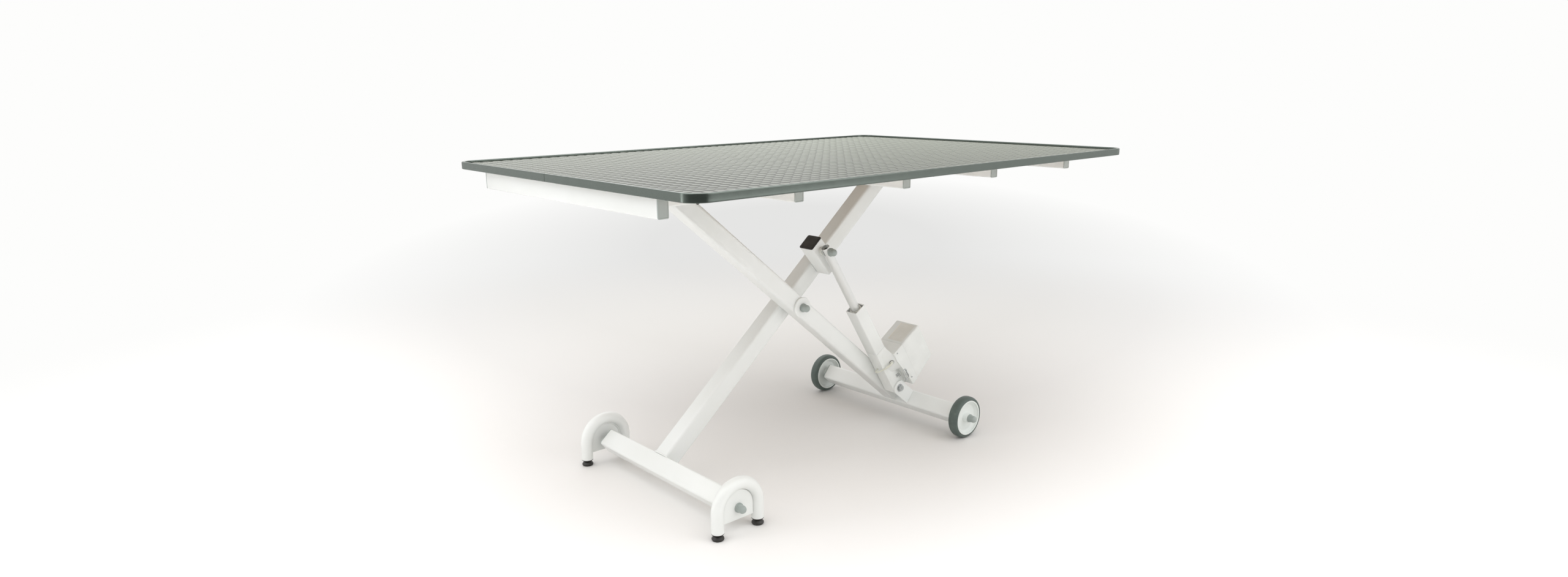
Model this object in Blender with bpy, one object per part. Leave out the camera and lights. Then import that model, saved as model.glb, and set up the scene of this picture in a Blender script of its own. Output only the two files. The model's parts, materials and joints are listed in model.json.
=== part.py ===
"""Electric scissor-lift examination table: a matted top on one pair of crossed arms, with a spindle drive.

Metres, +Z up. +X points to the wheel end, +Y away from the side that carries the drive.
The origin lies on the floor under the middle of the tabletop.
"""

import math

import bmesh
import bpy
from mathutils import Vector

# Shared clearances and counts
GAP = 0.0003
CUT_OVERRUN = 0.004
INNER_CORNER_SHARE = 0.25
ROUND_SIDES = 18
WHEEL_SIDES = 32
CORNER_STEPS = 2

# Lift geometry
ARM_HALF = 0.548
REST_ANGLE = math.radians(40.1)
AXLE_HEIGHT = 0.060
FOOT_OFFSET = 0.491

# Tabletop
TABLE_LENGTH = 1.500
TABLE_WIDTH = 1.000
TABLE_CORNER = 0.043
TABLE_CORNER_STEPS = 8
MAT_THICKNESS = 0.003
MAT_EDGE_STEP = 0.001
BOARD_THICKNESS = 0.008
RIM_LIP_THICKNESS = 0.0045
RIM_LIP_REACH = 0.0075
RIM_LIP_CROWN = 0.0016
RIM_WALL = 0.003
RIM_FLANGE_THICKNESS = 0.0016
RIM_FLANGE_REACH = 0.010
RIM_EDGE = 0.0014

# Cross beams under the board
BEAM_COUNT = 5
BEAM_FOOT_INSET = 0.029
BEAM_WHEEL_INSET = 0.079
BEAM_LENGTH = 0.734
BEAM_WIDTH = 0.025
BEAM_HEIGHT = 0.044
BEAM_WALL = 0.002
BEAM_CORNER = 0.003
CAP_FLANGE = 0.003
CAP_PLUG = 0.010

# Rails that hold the top pivot and guide the rollers
TOP_PIVOT_DROP = 0.0295
RAIL_SPREAD = 0.400
RAIL_HEIGHT = 0.040
RAIL_DEPTH = 0.020
RAIL_WALL = 0.003

# Scissor arms and the beams across their lower ends
ARM_SIDE = 0.048
ARM_WALL = 0.003
ARM_CORNER = 0.005
ARM_GAP = 0.003
ARM_END = 0.014
ARM_END_CHAMFER = 0.006
FOOT_BEAM_LENGTH = 0.518
WHEEL_BEAM_LENGTH = 0.525
BEAM_END_PLATE = 0.008

# Feet
FOOT_CLEARANCE = 0.009
FOOT_LEG_PITCH = 0.117
FOOT_TUBE_RADIUS = 0.015
FOOT_TUBE_WALL = 0.0025
FOOT_TUBE_BOTTOM = 0.0165
FOOT_TUBE_SIDES = 12
FOOT_ARC_STEPS = 14
WEB_THICKNESS = 0.006
WEB_BOTTOM = 0.0315

# Levelling feet
PAD_RADIUS = 0.0145
PAD_RIM_HEIGHT = 0.0055
PAD_CHAMFER = 0.0012
PAD_NECK_RADIUS = 0.0085
PAD_NECK_HEIGHT = 0.0118
INSERT_FLANGE = 0.0018
INSERT_FLANGE_STAND = 0.0002
INSERT_DEPTH = 0.014

# Bolts, with a grey cap on their outer end
BOLT_RADIUS = 0.006
BOLT_CAP_RADIUS = 0.0104
BOLT_CAP_LENGTH = 0.020
BOLT_COLLAR_RADIUS = 0.0116
BOLT_COLLAR = 0.003
BOLT_GRIP = 0.012
PIVOT_BOSS_RADIUS = 0.028
PIVOT_BOSS_THICKNESS = 0.005

# Cross shafts and rollers
SHAFT_RADIUS = 0.010
SHAFT_HEAD_RADIUS = 0.014
SHAFT_HEAD = 0.004
JOURNAL_RADIUS = 0.008
ROLLER_WIDTH = 0.014
ROLLER_END_PLAY = 0.0015

# Wheels
WHEEL_CLEARANCE = 0.0045
TYRE_WIDTH = 0.030
TYRE_CROWN = 0.004
RIM_RADIUS = 0.050
RIM_RING_WIDTH = 0.004
RIM_RING_DEPTH = 0.006
DISC_THICKNESS = 0.008
HUB_RADIUS = 0.0144
HUB_STAND = 0.0025

# Drive: places on the arms
BOLT_BACK = 0.088
PIN_ALONG = 0.150
PIN_UP = 0.062
DRIVE_OFFSET = 0.0705

# Drive: outer tube, gearbox and rod
DRIVE_TUBE_HEIGHT = 0.041
DRIVE_TUBE_WIDTH = 0.040
DRIVE_TUBE_WALL = 0.003
DRIVE_TUBE_CORNER = 0.003
DRIVE_TUBE_TOP = 0.314
GEARBOX_TOP = 0.151
GEARBOX_SHOULDER = 0.004
GEARBOX_NOSE = 0.020
GEARBOX_NOSE_LOW = 0.008
GEARBOX_NOSE_HIGH = 0.012
GEARBOX_BORE_RADIUS = 0.0145
GEARBOX_BORE_END = 0.025
BUSH_LENGTH = 0.025
BUSH_RECESS = 0.004
BUSH_CORNER = 0.001
ROD_RADIUS = 0.0125
ROD_WALL = 0.002
ROD_LENGTH = 0.335
ROD_OVER_PIN = 0.015
ROD_SLOT_WIDTH = 0.003
ROD_SLOT_LENGTH = 0.021
PIN_RADIUS = 0.006
PIN_CAP_RADIUS = 0.0104
PIN_CAP_LENGTH = 0.017
SPACER_RADIUS = 0.011

# Drive: bracket on the foot arm, ear on the wheel beam and its bolt
BRACKET_ALONG = 0.046
BRACKET_DEPTH = 0.050
BRACKET_LOW = 0.012
BRACKET_HIGH = 0.091
BRACKET_WALL = 0.003
EAR_THICKNESS = 0.0045
EAR_PLAY = 0.0008
EAR_HALF_WIDTH = 0.0215
EAR_END = 0.018
DRIVE_BOLT_RADIUS = 0.005
DRIVE_BOLT_HEAD_RADIUS = 0.0092
DRIVE_BOLT_HEAD = 0.0065
DRIVE_WASHER_RADIUS = 0.0115
DRIVE_WASHER = 0.002

# Drive: motor box, seen along the spindle from its lower bolt
MOTOR_WIDTH = 0.085
MOTOR_TOP = 0.124
MOTOR_LOW = 0.018
MOTOR_HIGH = 0.148
MOTOR_PARTING = 0.063
MOTOR_FOOT = 0.037
MOTOR_WAIST = 0.0310
MOTOR_WAIST_PLACE = 0.036
MOTOR_SEAT_PLACE = 0.096
MOTOR_COVER_LOW = 0.015
MOTOR_COVER_RISE = 0.015
MOTOR_WALL = 0.0025
MOTOR_ROUND = 0.005
MOTOR_ROUND_STEPS = 2
MOTOR_EDGE_ANGLE = math.radians(30)

# Drive: short lead and wire catch
LEAD_RADIUS = 0.003
LEAD_START_PLACE = 0.1056
LEAD_START_HIGH = 0.0131
LEAD_END_PLACE = 0.0980
LEAD_END_DEPTH = 0.0663
LEAD_BOW_OUT = 0.034
LEAD_BOW_BACK = 0.048
LEAD_STEPS = 12
CATCH_WIRE_RADIUS = 0.001
CATCH_LENGTH = 0.033
CATCH_WIDTH = 0.014
CATCH_CORNER = 0.0028
CATCH_CORNER_STEPS = 3
CATCH_PLACE = 0.036
CATCH_HINGE_HIGH = 0.0345

# Places that follow from the sizes above
ARM_SPREAD = ARM_SIDE + ARM_GAP
ARM_NEAR_FACE = ARM_GAP / 2 + ARM_SIDE
BEAM_HALF = ARM_SIDE / 2
BOARD_UNDERSIDE = TOP_PIVOT_DROP
BOARD_TOP = BOARD_UNDERSIDE + BOARD_THICKNESS
MAT_BOTTOM = BOARD_TOP + GAP
MAT_TOP = MAT_BOTTOM + MAT_THICKNESS
RIM_TOP = MAT_TOP + GAP + RIM_LIP_THICKNESS
RIM_BOTTOM = BOARD_UNDERSIDE - GAP - RIM_FLANGE_THICKNESS
BEAM_TOP = BOARD_UNDERSIDE - GAP
BEAM_BOTTOM = BEAM_TOP - BEAM_HEIGHT
BEAM_TUBE_LENGTH = BEAM_LENGTH - 2 * (CAP_FLANGE + GAP)
BEAM_FIRST_X = BEAM_FOOT_INSET - TABLE_LENGTH / 2
BEAM_PITCH = (TABLE_LENGTH - BEAM_FOOT_INSET - BEAM_WHEEL_INSET) / (BEAM_COUNT - 1)
WHEEL_RADIUS = AXLE_HEIGHT
RAIL_Y = RAIL_SPREAD / 2
FOOT_Y = FOOT_BEAM_LENGTH / 2 + FOOT_CLEARANCE + FOOT_TUBE_RADIUS
WHEEL_Y = WHEEL_BEAM_LENGTH / 2 + WHEEL_CLEARANCE + TYRE_WIDTH / 2
GEARBOX_NEAR_FACE = DRIVE_OFFSET + DRIVE_TUBE_WIDTH / 2
EAR_FAR_FACE = GEARBOX_NEAR_FACE + EAR_PLAY
EAR_NEAR_FACE = EAR_FAR_FACE + EAR_THICKNESS
BRACKET_NEAR_FACE = BRACKET_DEPTH + GAP - ARM_GAP / 2
SIDES = (("near", -1), ("far", 1))


def clear_scene():
    """Remove what the file opened with."""
    for item in list(bpy.data.objects):
        bpy.data.objects.remove(item, do_unlink=True)


def finish_of(name, colour, roughness, metallic=0.0):
    """One plain material for one piece."""
    material = bpy.data.materials.new(name)
    material.use_nodes = True
    shader = material.node_tree.nodes["Principled BSDF"]
    shader.inputs["Base Color"].default_value = (*colour, 1.0)
    shader.inputs["Roughness"].default_value = roughness
    shader.inputs["Metallic"].default_value = metallic
    material.diffuse_color = (*colour, 1.0)
    return material


FINISHES = {
    "white_enamel": ((0.78, 0.79, 0.76), 0.30, 0.0),
    "slate_plastic": ((0.055, 0.075, 0.080), 0.45, 0.0),
    "grey_rubber": ((0.30, 0.30, 0.27), 0.80, 0.0),
    "laminate": ((0.52, 0.45, 0.38), 0.50, 0.0),
    "cap_grey": ((0.45, 0.49, 0.49), 0.50, 0.0),
    "black_plastic": ((0.030, 0.028, 0.026), 0.45, 0.0),
    "wheel_white": ((0.74, 0.79, 0.77), 0.40, 0.0),
    "tyre_rubber": ((0.050, 0.062, 0.060), 0.65, 0.0),
    "zinc": ((0.55, 0.56, 0.56), 0.35, 0.9),
    "motor_plastic": ((0.76, 0.77, 0.74), 0.45, 0.0),
    "lead_white": ((0.74, 0.74, 0.68), 0.50, 0.0),
    "nylon": ((0.72, 0.73, 0.70), 0.50, 0.0),
}


def put(name, mesh, finish, parent=None, place=(0, 0, 0), turn=(0, 0, 0)):
    """Make one named object with its own material."""
    item = bpy.data.objects.new(name, mesh)
    bpy.context.collection.objects.link(item)
    colour, roughness, metallic = FINISHES[finish]
    item.data.materials.append(finish_of(name, colour, roughness, metallic))
    item.parent = parent
    item.location = place
    item.rotation_euler = turn
    return item


def axis_point(name, place, turn=0.0, parent=None):
    """An empty that carries the pieces which turn about it; turn is about Y."""
    empty = bpy.data.objects.new(name, None)
    bpy.context.collection.objects.link(empty)
    empty.parent = parent
    empty.location = place
    empty.rotation_euler = (0, turn, 0)
    return empty


def mesh_from(name, build, smooth_angle=None):
    """Run a bmesh builder, turn the faces outwards and shade the result."""
    bm = bmesh.new()
    build(bm)
    bmesh.ops.recalc_face_normals(bm, faces=bm.faces)
    mesh = bpy.data.meshes.new(name)
    bm.to_mesh(mesh)
    bm.free()
    if smooth_angle is not None:
        mesh.shade_smooth()
        mesh.set_sharp_from_angle(angle=smooth_angle)
    return mesh


SMOOTH = math.radians(35)


def rounded_outline(width, height, radius, steps=CORNER_STEPS):
    """Points of a rounded rectangle about the origin, anticlockwise."""
    points = []
    for quarter in range(4):
        start = quarter * math.pi / 2
        side_a = math.cos(start + math.pi / 4) > 0
        side_b = math.sin(start + math.pi / 4) > 0
        centre_a = (width / 2 - radius) * (1 if side_a else -1)
        centre_b = (height / 2 - radius) * (1 if side_b else -1)
        for step in range(steps + 1):
            angle = start + step / steps * math.pi / 2
            points.append((centre_a + radius * math.cos(angle), centre_b + radius * math.sin(angle)))
    return points


def circle_points(radius, count=ROUND_SIDES):
    """Points of a circle about the origin, anticlockwise."""
    return [
        (radius * math.cos(2 * math.pi * i / count), radius * math.sin(2 * math.pi * i / count))
        for i in range(count)
    ]


def loft(bm, rings, closed):
    """Join rings of points with quads; a closed loft joins the last ring to the first."""
    made = [[bm.verts.new(point) for point in ring] for ring in rings]
    pairs = list(zip(made, made[1:] + made[:1])) if closed else list(zip(made, made[1:]))
    for ring_a, ring_b in pairs:
        count = len(ring_a)
        for i in range(count):
            j = (i + 1) % count
            bm.faces.new((ring_a[i], ring_a[j], ring_b[j], ring_b[i]))
    if not closed:
        bm.faces.new(list(reversed(made[0])))
        bm.faces.new(made[-1])


def bar_mesh(name, start, end, outer, inner=None, end_trim=None):
    """A straight bar along X from an outline in Y and Z; an inner outline makes it an open tube."""

    def build(bm):
        def ring(x, outline, trimmed):
            return [(x - (end_trim(b) if end_trim and trimmed else 0), a, b) for a, b in outline]

        if inner is None:
            loft(bm, [ring(start, outer, False), ring(end, outer, True)], closed=False)
        else:
            rings = [
                ring(start, outer, False),
                ring(end, outer, True),
                ring(end, inner, True),
                ring(start, inner, False),
            ]
            loft(bm, rings, closed=True)

    return mesh_from(name, build, SMOOTH)


def plate_mesh(name, outline, thickness, smooth=False):
    """A plate in the XZ plane, centred on Y, from its outline."""

    def build(bm):
        rings = [[(x, side * thickness / 2, z) for x, z in outline] for side in (-1, 1)]
        loft(bm, rings, closed=False)

    return mesh_from(name, build, SMOOTH if smooth else None)


def turned_mesh(name, profile, count=ROUND_SIDES, axis="Y"):
    """A solid turned about an axis from (radius, place) points; it starts and ends on the axis."""

    def build(bm):
        ends = []
        rings = []
        for radius, place in profile:
            if radius == 0:
                ends.append(place)
                continue
            rings.append([(a, place, b) for a, b in circle_points(radius, count)])
        made = [[bm.verts.new(point) for point in ring] for ring in rings]
        for ring_a, ring_b in zip(made, made[1:]):
            for i in range(count):
                j = (i + 1) % count
                bm.faces.new((ring_a[i], ring_a[j], ring_b[j], ring_b[i]))
        for place, ring in ((ends[0], made[0]), (ends[-1], made[-1])):
            tip = bm.verts.new((0, place, 0))
            for i in range(count):
                bm.faces.new((ring[i], ring[(i + 1) % count], tip))
        if axis == "Z":
            for vert in bm.verts:
                x, y, z = vert.co
                vert.co = (x, -z, y)

    return mesh_from(name, build, SMOOTH)


def ring_mesh(name, profile, count=ROUND_SIDES):
    """A ring turned about Y from a closed profile of (radius, place) points."""

    def build(bm):
        rings = []
        for step in range(count):
            angle = 2 * math.pi * step / count
            rings.append([(r * math.cos(angle), place, r * math.sin(angle)) for r, place in profile])
        loft(bm, rings, closed=True)

    return mesh_from(name, build, SMOOTH)


def hide(cutter):
    """Keep a cutter out of sight and out of the model."""
    cutter.hide_render = True
    cutter.display_type = "WIRE"


def cut(target, cutter, operation="DIFFERENCE"):
    """Cut one object with another."""
    hide(cutter)
    step = target.modifiers.new("cut", "BOOLEAN")
    step.operation = operation
    step.solver = "EXACT"
    step.object = cutter


def drill(target, parent, radius, start, end, place=(0, 0, 0), axis="Y"):
    """Cut a round hole along Y or X, from start to end."""
    profile = [(0, start), (radius, start), (radius, end), (0, end)]
    mesh = turned_mesh("hole", profile)
    turn = (0, 0, 0) if axis == "Y" else (0, 0, -math.pi / 2)
    cutter = put("hole_cutter", mesh, "zinc", parent, place, turn)
    cut(target, cutter)


def carve(target, parent, low, high, place=(0, 0, 0)):
    """Cut a box between two corners."""

    def build(bm):
        outline = [(low[0], low[2]), (high[0], low[2]), (high[0], high[2]), (low[0], high[2])]
        loft(bm, [[(x, y, z) for x, z in outline] for y in (low[1], high[1])], closed=False)

    cutter = put("box_cutter", mesh_from("box", build), "zinc", parent, place)
    cut(target, cutter)


def square_outlines(width, height, wall, corner):
    """Outer and inner outlines of a rectangular tube."""
    outer = rounded_outline(width, height, corner)
    inner_corner = max(corner - wall, corner * INNER_CORNER_SHARE)
    inner = rounded_outline(width - 2 * wall, height - 2 * wall, inner_corner)
    return outer, inner


def end_slope(height):
    """How far an arm's end is drawn back at a height off its middle: a chamfer on both edges."""
    return max(0.0, abs(height) - (ARM_SIDE / 2 - ARM_END_CHAMFER))


def capped_bolt_profile(face, side, cap_radius, cap_length, shank_radius, shank_end):
    """A bolt's turned profile along Y: a domed grey cap outside a face, and a shank through it."""
    dome_share = 0.45
    collar = face + side * (GAP + BOLT_COLLAR)
    shoulder = collar + side * cap_length * (1 - dome_share)
    tip = collar + side * cap_length
    dome = [(cap_radius, shoulder)]
    dome_steps = 3
    for step in range(1, dome_steps):
        angle = step / dome_steps * math.pi / 2
        dome.append((cap_radius * math.cos(angle), shoulder + (tip - shoulder) * math.sin(angle)))
    points = [(0, tip)] + list(reversed(dome))
    collar_radius = cap_radius * BOLT_COLLAR_RADIUS / BOLT_CAP_RADIUS
    points += [(cap_radius, collar), (collar_radius, collar)]
    points += [(collar_radius, face + side * GAP), (shank_radius, face + side * GAP)]
    points += [(shank_radius, shank_end), (0, shank_end)]
    return points


def rim_section():
    """The edge strip's section as (inward, height) points, from the outer foot anticlockwise."""
    lip_under = MAT_TOP - MAT_EDGE_STEP + GAP
    slot_floor = RIM_BOTTOM + RIM_FLANGE_THICKNESS
    return [
        (0, RIM_BOTTOM + RIM_EDGE),
        (0, RIM_TOP - RIM_EDGE),
        (RIM_EDGE, RIM_TOP),
        (RIM_LIP_REACH - RIM_LIP_CROWN, RIM_TOP),
        (RIM_LIP_REACH, RIM_TOP - RIM_LIP_CROWN),
        (RIM_LIP_REACH, lip_under),
        (RIM_WALL, lip_under),
        (RIM_WALL, slot_floor),
        (RIM_FLANGE_REACH, slot_floor),
        (RIM_FLANGE_REACH, RIM_BOTTOM),
        (RIM_EDGE, RIM_BOTTOM),
    ]


def table_outline(inset):
    """The tabletop's outline with its rounded corners, drawn in from its edge."""
    length = TABLE_LENGTH - 2 * inset
    width = TABLE_WIDTH - 2 * inset
    return rounded_outline(length, width, TABLE_CORNER - inset, TABLE_CORNER_STEPS)


def slab_mesh(name, levels):
    """A flat slab in the tabletop's outline, from (inset, height) levels upwards."""

    def build(bm):
        rings = [[(x, y, height) for x, y in table_outline(inset)] for inset, height in levels]
        loft(bm, rings, closed=False)

    return mesh_from(name, build)


def make_top(top):
    """Board, mat and edge strip; top is the frame of the fixed top pivot."""
    middle = (FOOT_OFFSET, 0, 0)
    inset = RIM_WALL + GAP
    levels = [(inset, BOARD_UNDERSIDE), (inset, BOARD_TOP)]
    put("board", slab_mesh("board", levels), "laminate", top, middle)
    open_inset = RIM_LIP_REACH + GAP
    edge_top = MAT_TOP - MAT_EDGE_STEP
    levels = [(inset, MAT_BOTTOM), (inset, edge_top), (open_inset, edge_top), (open_inset, MAT_TOP)]
    put("mat", slab_mesh("mat", levels), "grey_rubber", top, middle)

    def build(bm):
        section = rim_section()
        outlines = [table_outline(inward) for inward, _ in section]
        stations = len(outlines[0])
        rings = [
            [(*outline[i], height) for outline, (_, height) in zip(outlines, section)]
            for i in range(stations)
        ]
        loft(bm, rings, closed=True)

    put("edge_strip", mesh_from("edge_strip", build, SMOOTH), "slate_plastic", top, middle)


def cap_mesh(name, width, height, wall, corner):
    """A push-in cap: a flange at X = 0 and outwards, and a plug behind it."""
    outer, inner = square_outlines(width, height, wall, corner)
    plug_share = (height - 2 * wall - 2 * GAP) / (height - 2 * wall)

    def build(bm):
        plug = [(a * plug_share, b * plug_share) for a, b in inner]
        rings = [
            [(CAP_FLANGE, a, b) for a, b in outer],
            [(0, a, b) for a, b in outer],
            [(0, a, b) for a, b in plug],
            [(-CAP_PLUG, a, b) for a, b in plug],
        ]
        loft(bm, rings, closed=False)

    return mesh_from(name, build, SMOOTH)


def make_frame(top):
    """Cross beams with their end caps, and the two rails."""
    outer, inner = square_outlines(BEAM_WIDTH, BEAM_HEIGHT, BEAM_WALL, BEAM_CORNER)
    beam_z = (BEAM_TOP + BEAM_BOTTOM) / 2
    rail_top = RAIL_HEIGHT / 2
    arm_reach = math.hypot(ARM_SIDE / 2, ARM_END - ARM_END_CHAMFER) + GAP
    for index in range(BEAM_COUNT):
        number = index + 1
        x = FOOT_OFFSET + BEAM_FIRST_X + index * BEAM_PITCH
        half = BEAM_TUBE_LENGTH / 2
        mesh = bar_mesh("beam", -half, half, outer, inner)
        beam = put(f"beam_{number}", mesh, "white_enamel", top, (x, 0, beam_z), (0, 0, math.pi / 2))
        if 0 < index < BEAM_COUNT - 1:
            reach = BEAM_WIDTH / 2 + CUT_OVERRUN
            low = (-reach, -RAIL_Y - GAP, BEAM_BOTTOM - CUT_OVERRUN)
            carve(beam, top, low, (reach, RAIL_Y + GAP, rail_top + GAP), (x, 0, 0))
            deep_low = (-reach, -ARM_SPREAD, BEAM_BOTTOM - CUT_OVERRUN)
            carve(beam, top, deep_low, (reach, ARM_SPREAD, arm_reach), (x, 0, 0))
        for side_name, side in SIDES:
            cap = cap_mesh("cap", BEAM_WIDTH, BEAM_HEIGHT, BEAM_WALL, BEAM_CORNER)
            place = (x, side * (half + GAP), beam_z)
            turn = (0, 0, side * math.pi / 2)
            put(f"beam_cap_{number}_{side_name}", cap, "cap_grey", top, place, turn)
    start = FOOT_OFFSET + BEAM_FIRST_X + BEAM_WIDTH / 2 + GAP
    end = FOOT_OFFSET + BEAM_FIRST_X + (BEAM_COUNT - 1) * BEAM_PITCH - BEAM_WIDTH / 2 - GAP
    for side_name, side in SIDES:
        half = RAIL_HEIGHT / 2
        section = [
            (RAIL_Y, -half),
            (RAIL_Y, half),
            (RAIL_Y - RAIL_DEPTH, half),
            (RAIL_Y - RAIL_DEPTH, half - RAIL_WALL),
            (RAIL_Y - RAIL_WALL, half - RAIL_WALL),
            (RAIL_Y - RAIL_WALL, RAIL_WALL - half),
            (RAIL_Y - RAIL_DEPTH, RAIL_WALL - half),
            (RAIL_Y - RAIL_DEPTH, -half),
        ]
        mesh = bar_mesh("rail", start, end, [(side * y, z) for y, z in section])
        rail = put(f"rail_{side_name}", mesh, "white_enamel", top)
        wall_low = side * (RAIL_Y - RAIL_WALL - CUT_OVERRUN)
        wall_high = side * (RAIL_Y + CUT_OVERRUN)
        drill(rail, top, SHAFT_RADIUS + GAP, wall_low, wall_high)


def cross_beam(name, length, parent):
    """A square beam along Y, hollow inside, with a bore in each closed end."""
    outer, inner = square_outlines(ARM_SIDE, ARM_SIDE, ARM_WALL, ARM_CORNER)
    turn = (0, 0, math.pi / 2)
    beam = put(name, bar_mesh(name, -length / 2, length / 2, outer), "white_enamel", parent, turn=turn)
    inside = length / 2 - BEAM_END_PLATE
    hollow = put("hollow_cutter", bar_mesh("hollow", -inside, inside, inner), "zinc", parent, turn=turn)
    cut(beam, hollow)
    reach = length / 2 + CUT_OVERRUN
    drill(beam, parent, BOLT_RADIUS + GAP, -reach, reach)
    return beam


def make_foot_arm(low):
    """The arm from the feet up to the rollers, with its foot beam and the rod's bracket."""
    outer, inner = square_outlines(ARM_SIDE, ARM_SIDE, ARM_WALL, ARM_CORNER)
    start = BEAM_HALF + GAP
    end = 2 * ARM_HALF + ARM_END
    mesh = bar_mesh("foot_arm", start, end, outer, inner, end_slope)
    middle_y = ARM_SPREAD / 2
    arm = put("foot_arm", mesh, "white_enamel", low, (0, middle_y, 0))
    reach = ARM_SIDE / 2 + CUT_OVERRUN
    drill(arm, low, BOLT_RADIUS + GAP, -reach, reach, (ARM_HALF, middle_y, 0))
    drill(arm, low, SHAFT_RADIUS + GAP, -reach, reach, (2 * ARM_HALF, middle_y, 0))
    cross_beam("foot_beam", FOOT_BEAM_LENGTH, low)

    roller_out = RAIL_Y - RAIL_WALL - ROLLER_END_PLAY
    shoulder = roller_out - ROLLER_WIDTH - GAP
    profile = [(0, -roller_out), (JOURNAL_RADIUS, -roller_out), (JOURNAL_RADIUS, -shoulder)]
    profile += [(SHAFT_RADIUS, -shoulder), (SHAFT_RADIUS, shoulder)]
    profile += [(JOURNAL_RADIUS, shoulder), (JOURNAL_RADIUS, roller_out), (0, roller_out)]
    put("slide_shaft", turned_mesh("slide_shaft", profile), "zinc", low, (2 * ARM_HALF, 0, 0))

    outer, inner = square_outlines(BRACKET_DEPTH, BRACKET_ALONG, BRACKET_WALL, ARM_CORNER)
    top_end = BRACKET_HIGH - CAP_FLANGE - GAP
    place = (ARM_HALF + PIN_ALONG, BRACKET_DEPTH / 2 - BRACKET_NEAR_FACE, 0)
    upright = (0, -math.pi / 2, 0)
    mesh = bar_mesh("rod_bracket", -BRACKET_LOW, top_end, outer, inner)
    put("rod_bracket", mesh, "white_enamel", low, place, upright)
    cap = cap_mesh("cap", BRACKET_DEPTH, BRACKET_ALONG, BRACKET_WALL, ARM_CORNER)
    cap_place = (place[0], place[1], top_end + GAP)
    put("rod_bracket_cap", cap, "black_plastic", low, cap_place, upright)


def make_rollers(low):
    """The two rollers on the slide shaft."""
    radius = RAIL_HEIGHT / 2 - RAIL_WALL - GAP
    edge = RIM_EDGE
    for side_name, side in SIDES:
        axis = axis_point(f"roller_axis_{side_name}", (2 * ARM_HALF, 0, 0), parent=low)
        outside = RAIL_Y - RAIL_WALL - ROLLER_END_PLAY
        inside = outside - ROLLER_WIDTH
        bore = JOURNAL_RADIUS + GAP
        profile = [(bore, inside), (radius - edge, inside), (radius, inside + edge)]
        profile += [(radius, outside - edge), (radius - edge, outside), (bore, outside)]
        mesh = ring_mesh("roller", [(r, side * y) for r, y in profile])
        put(f"roller_{side_name}", mesh, "nylon", axis)


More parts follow.
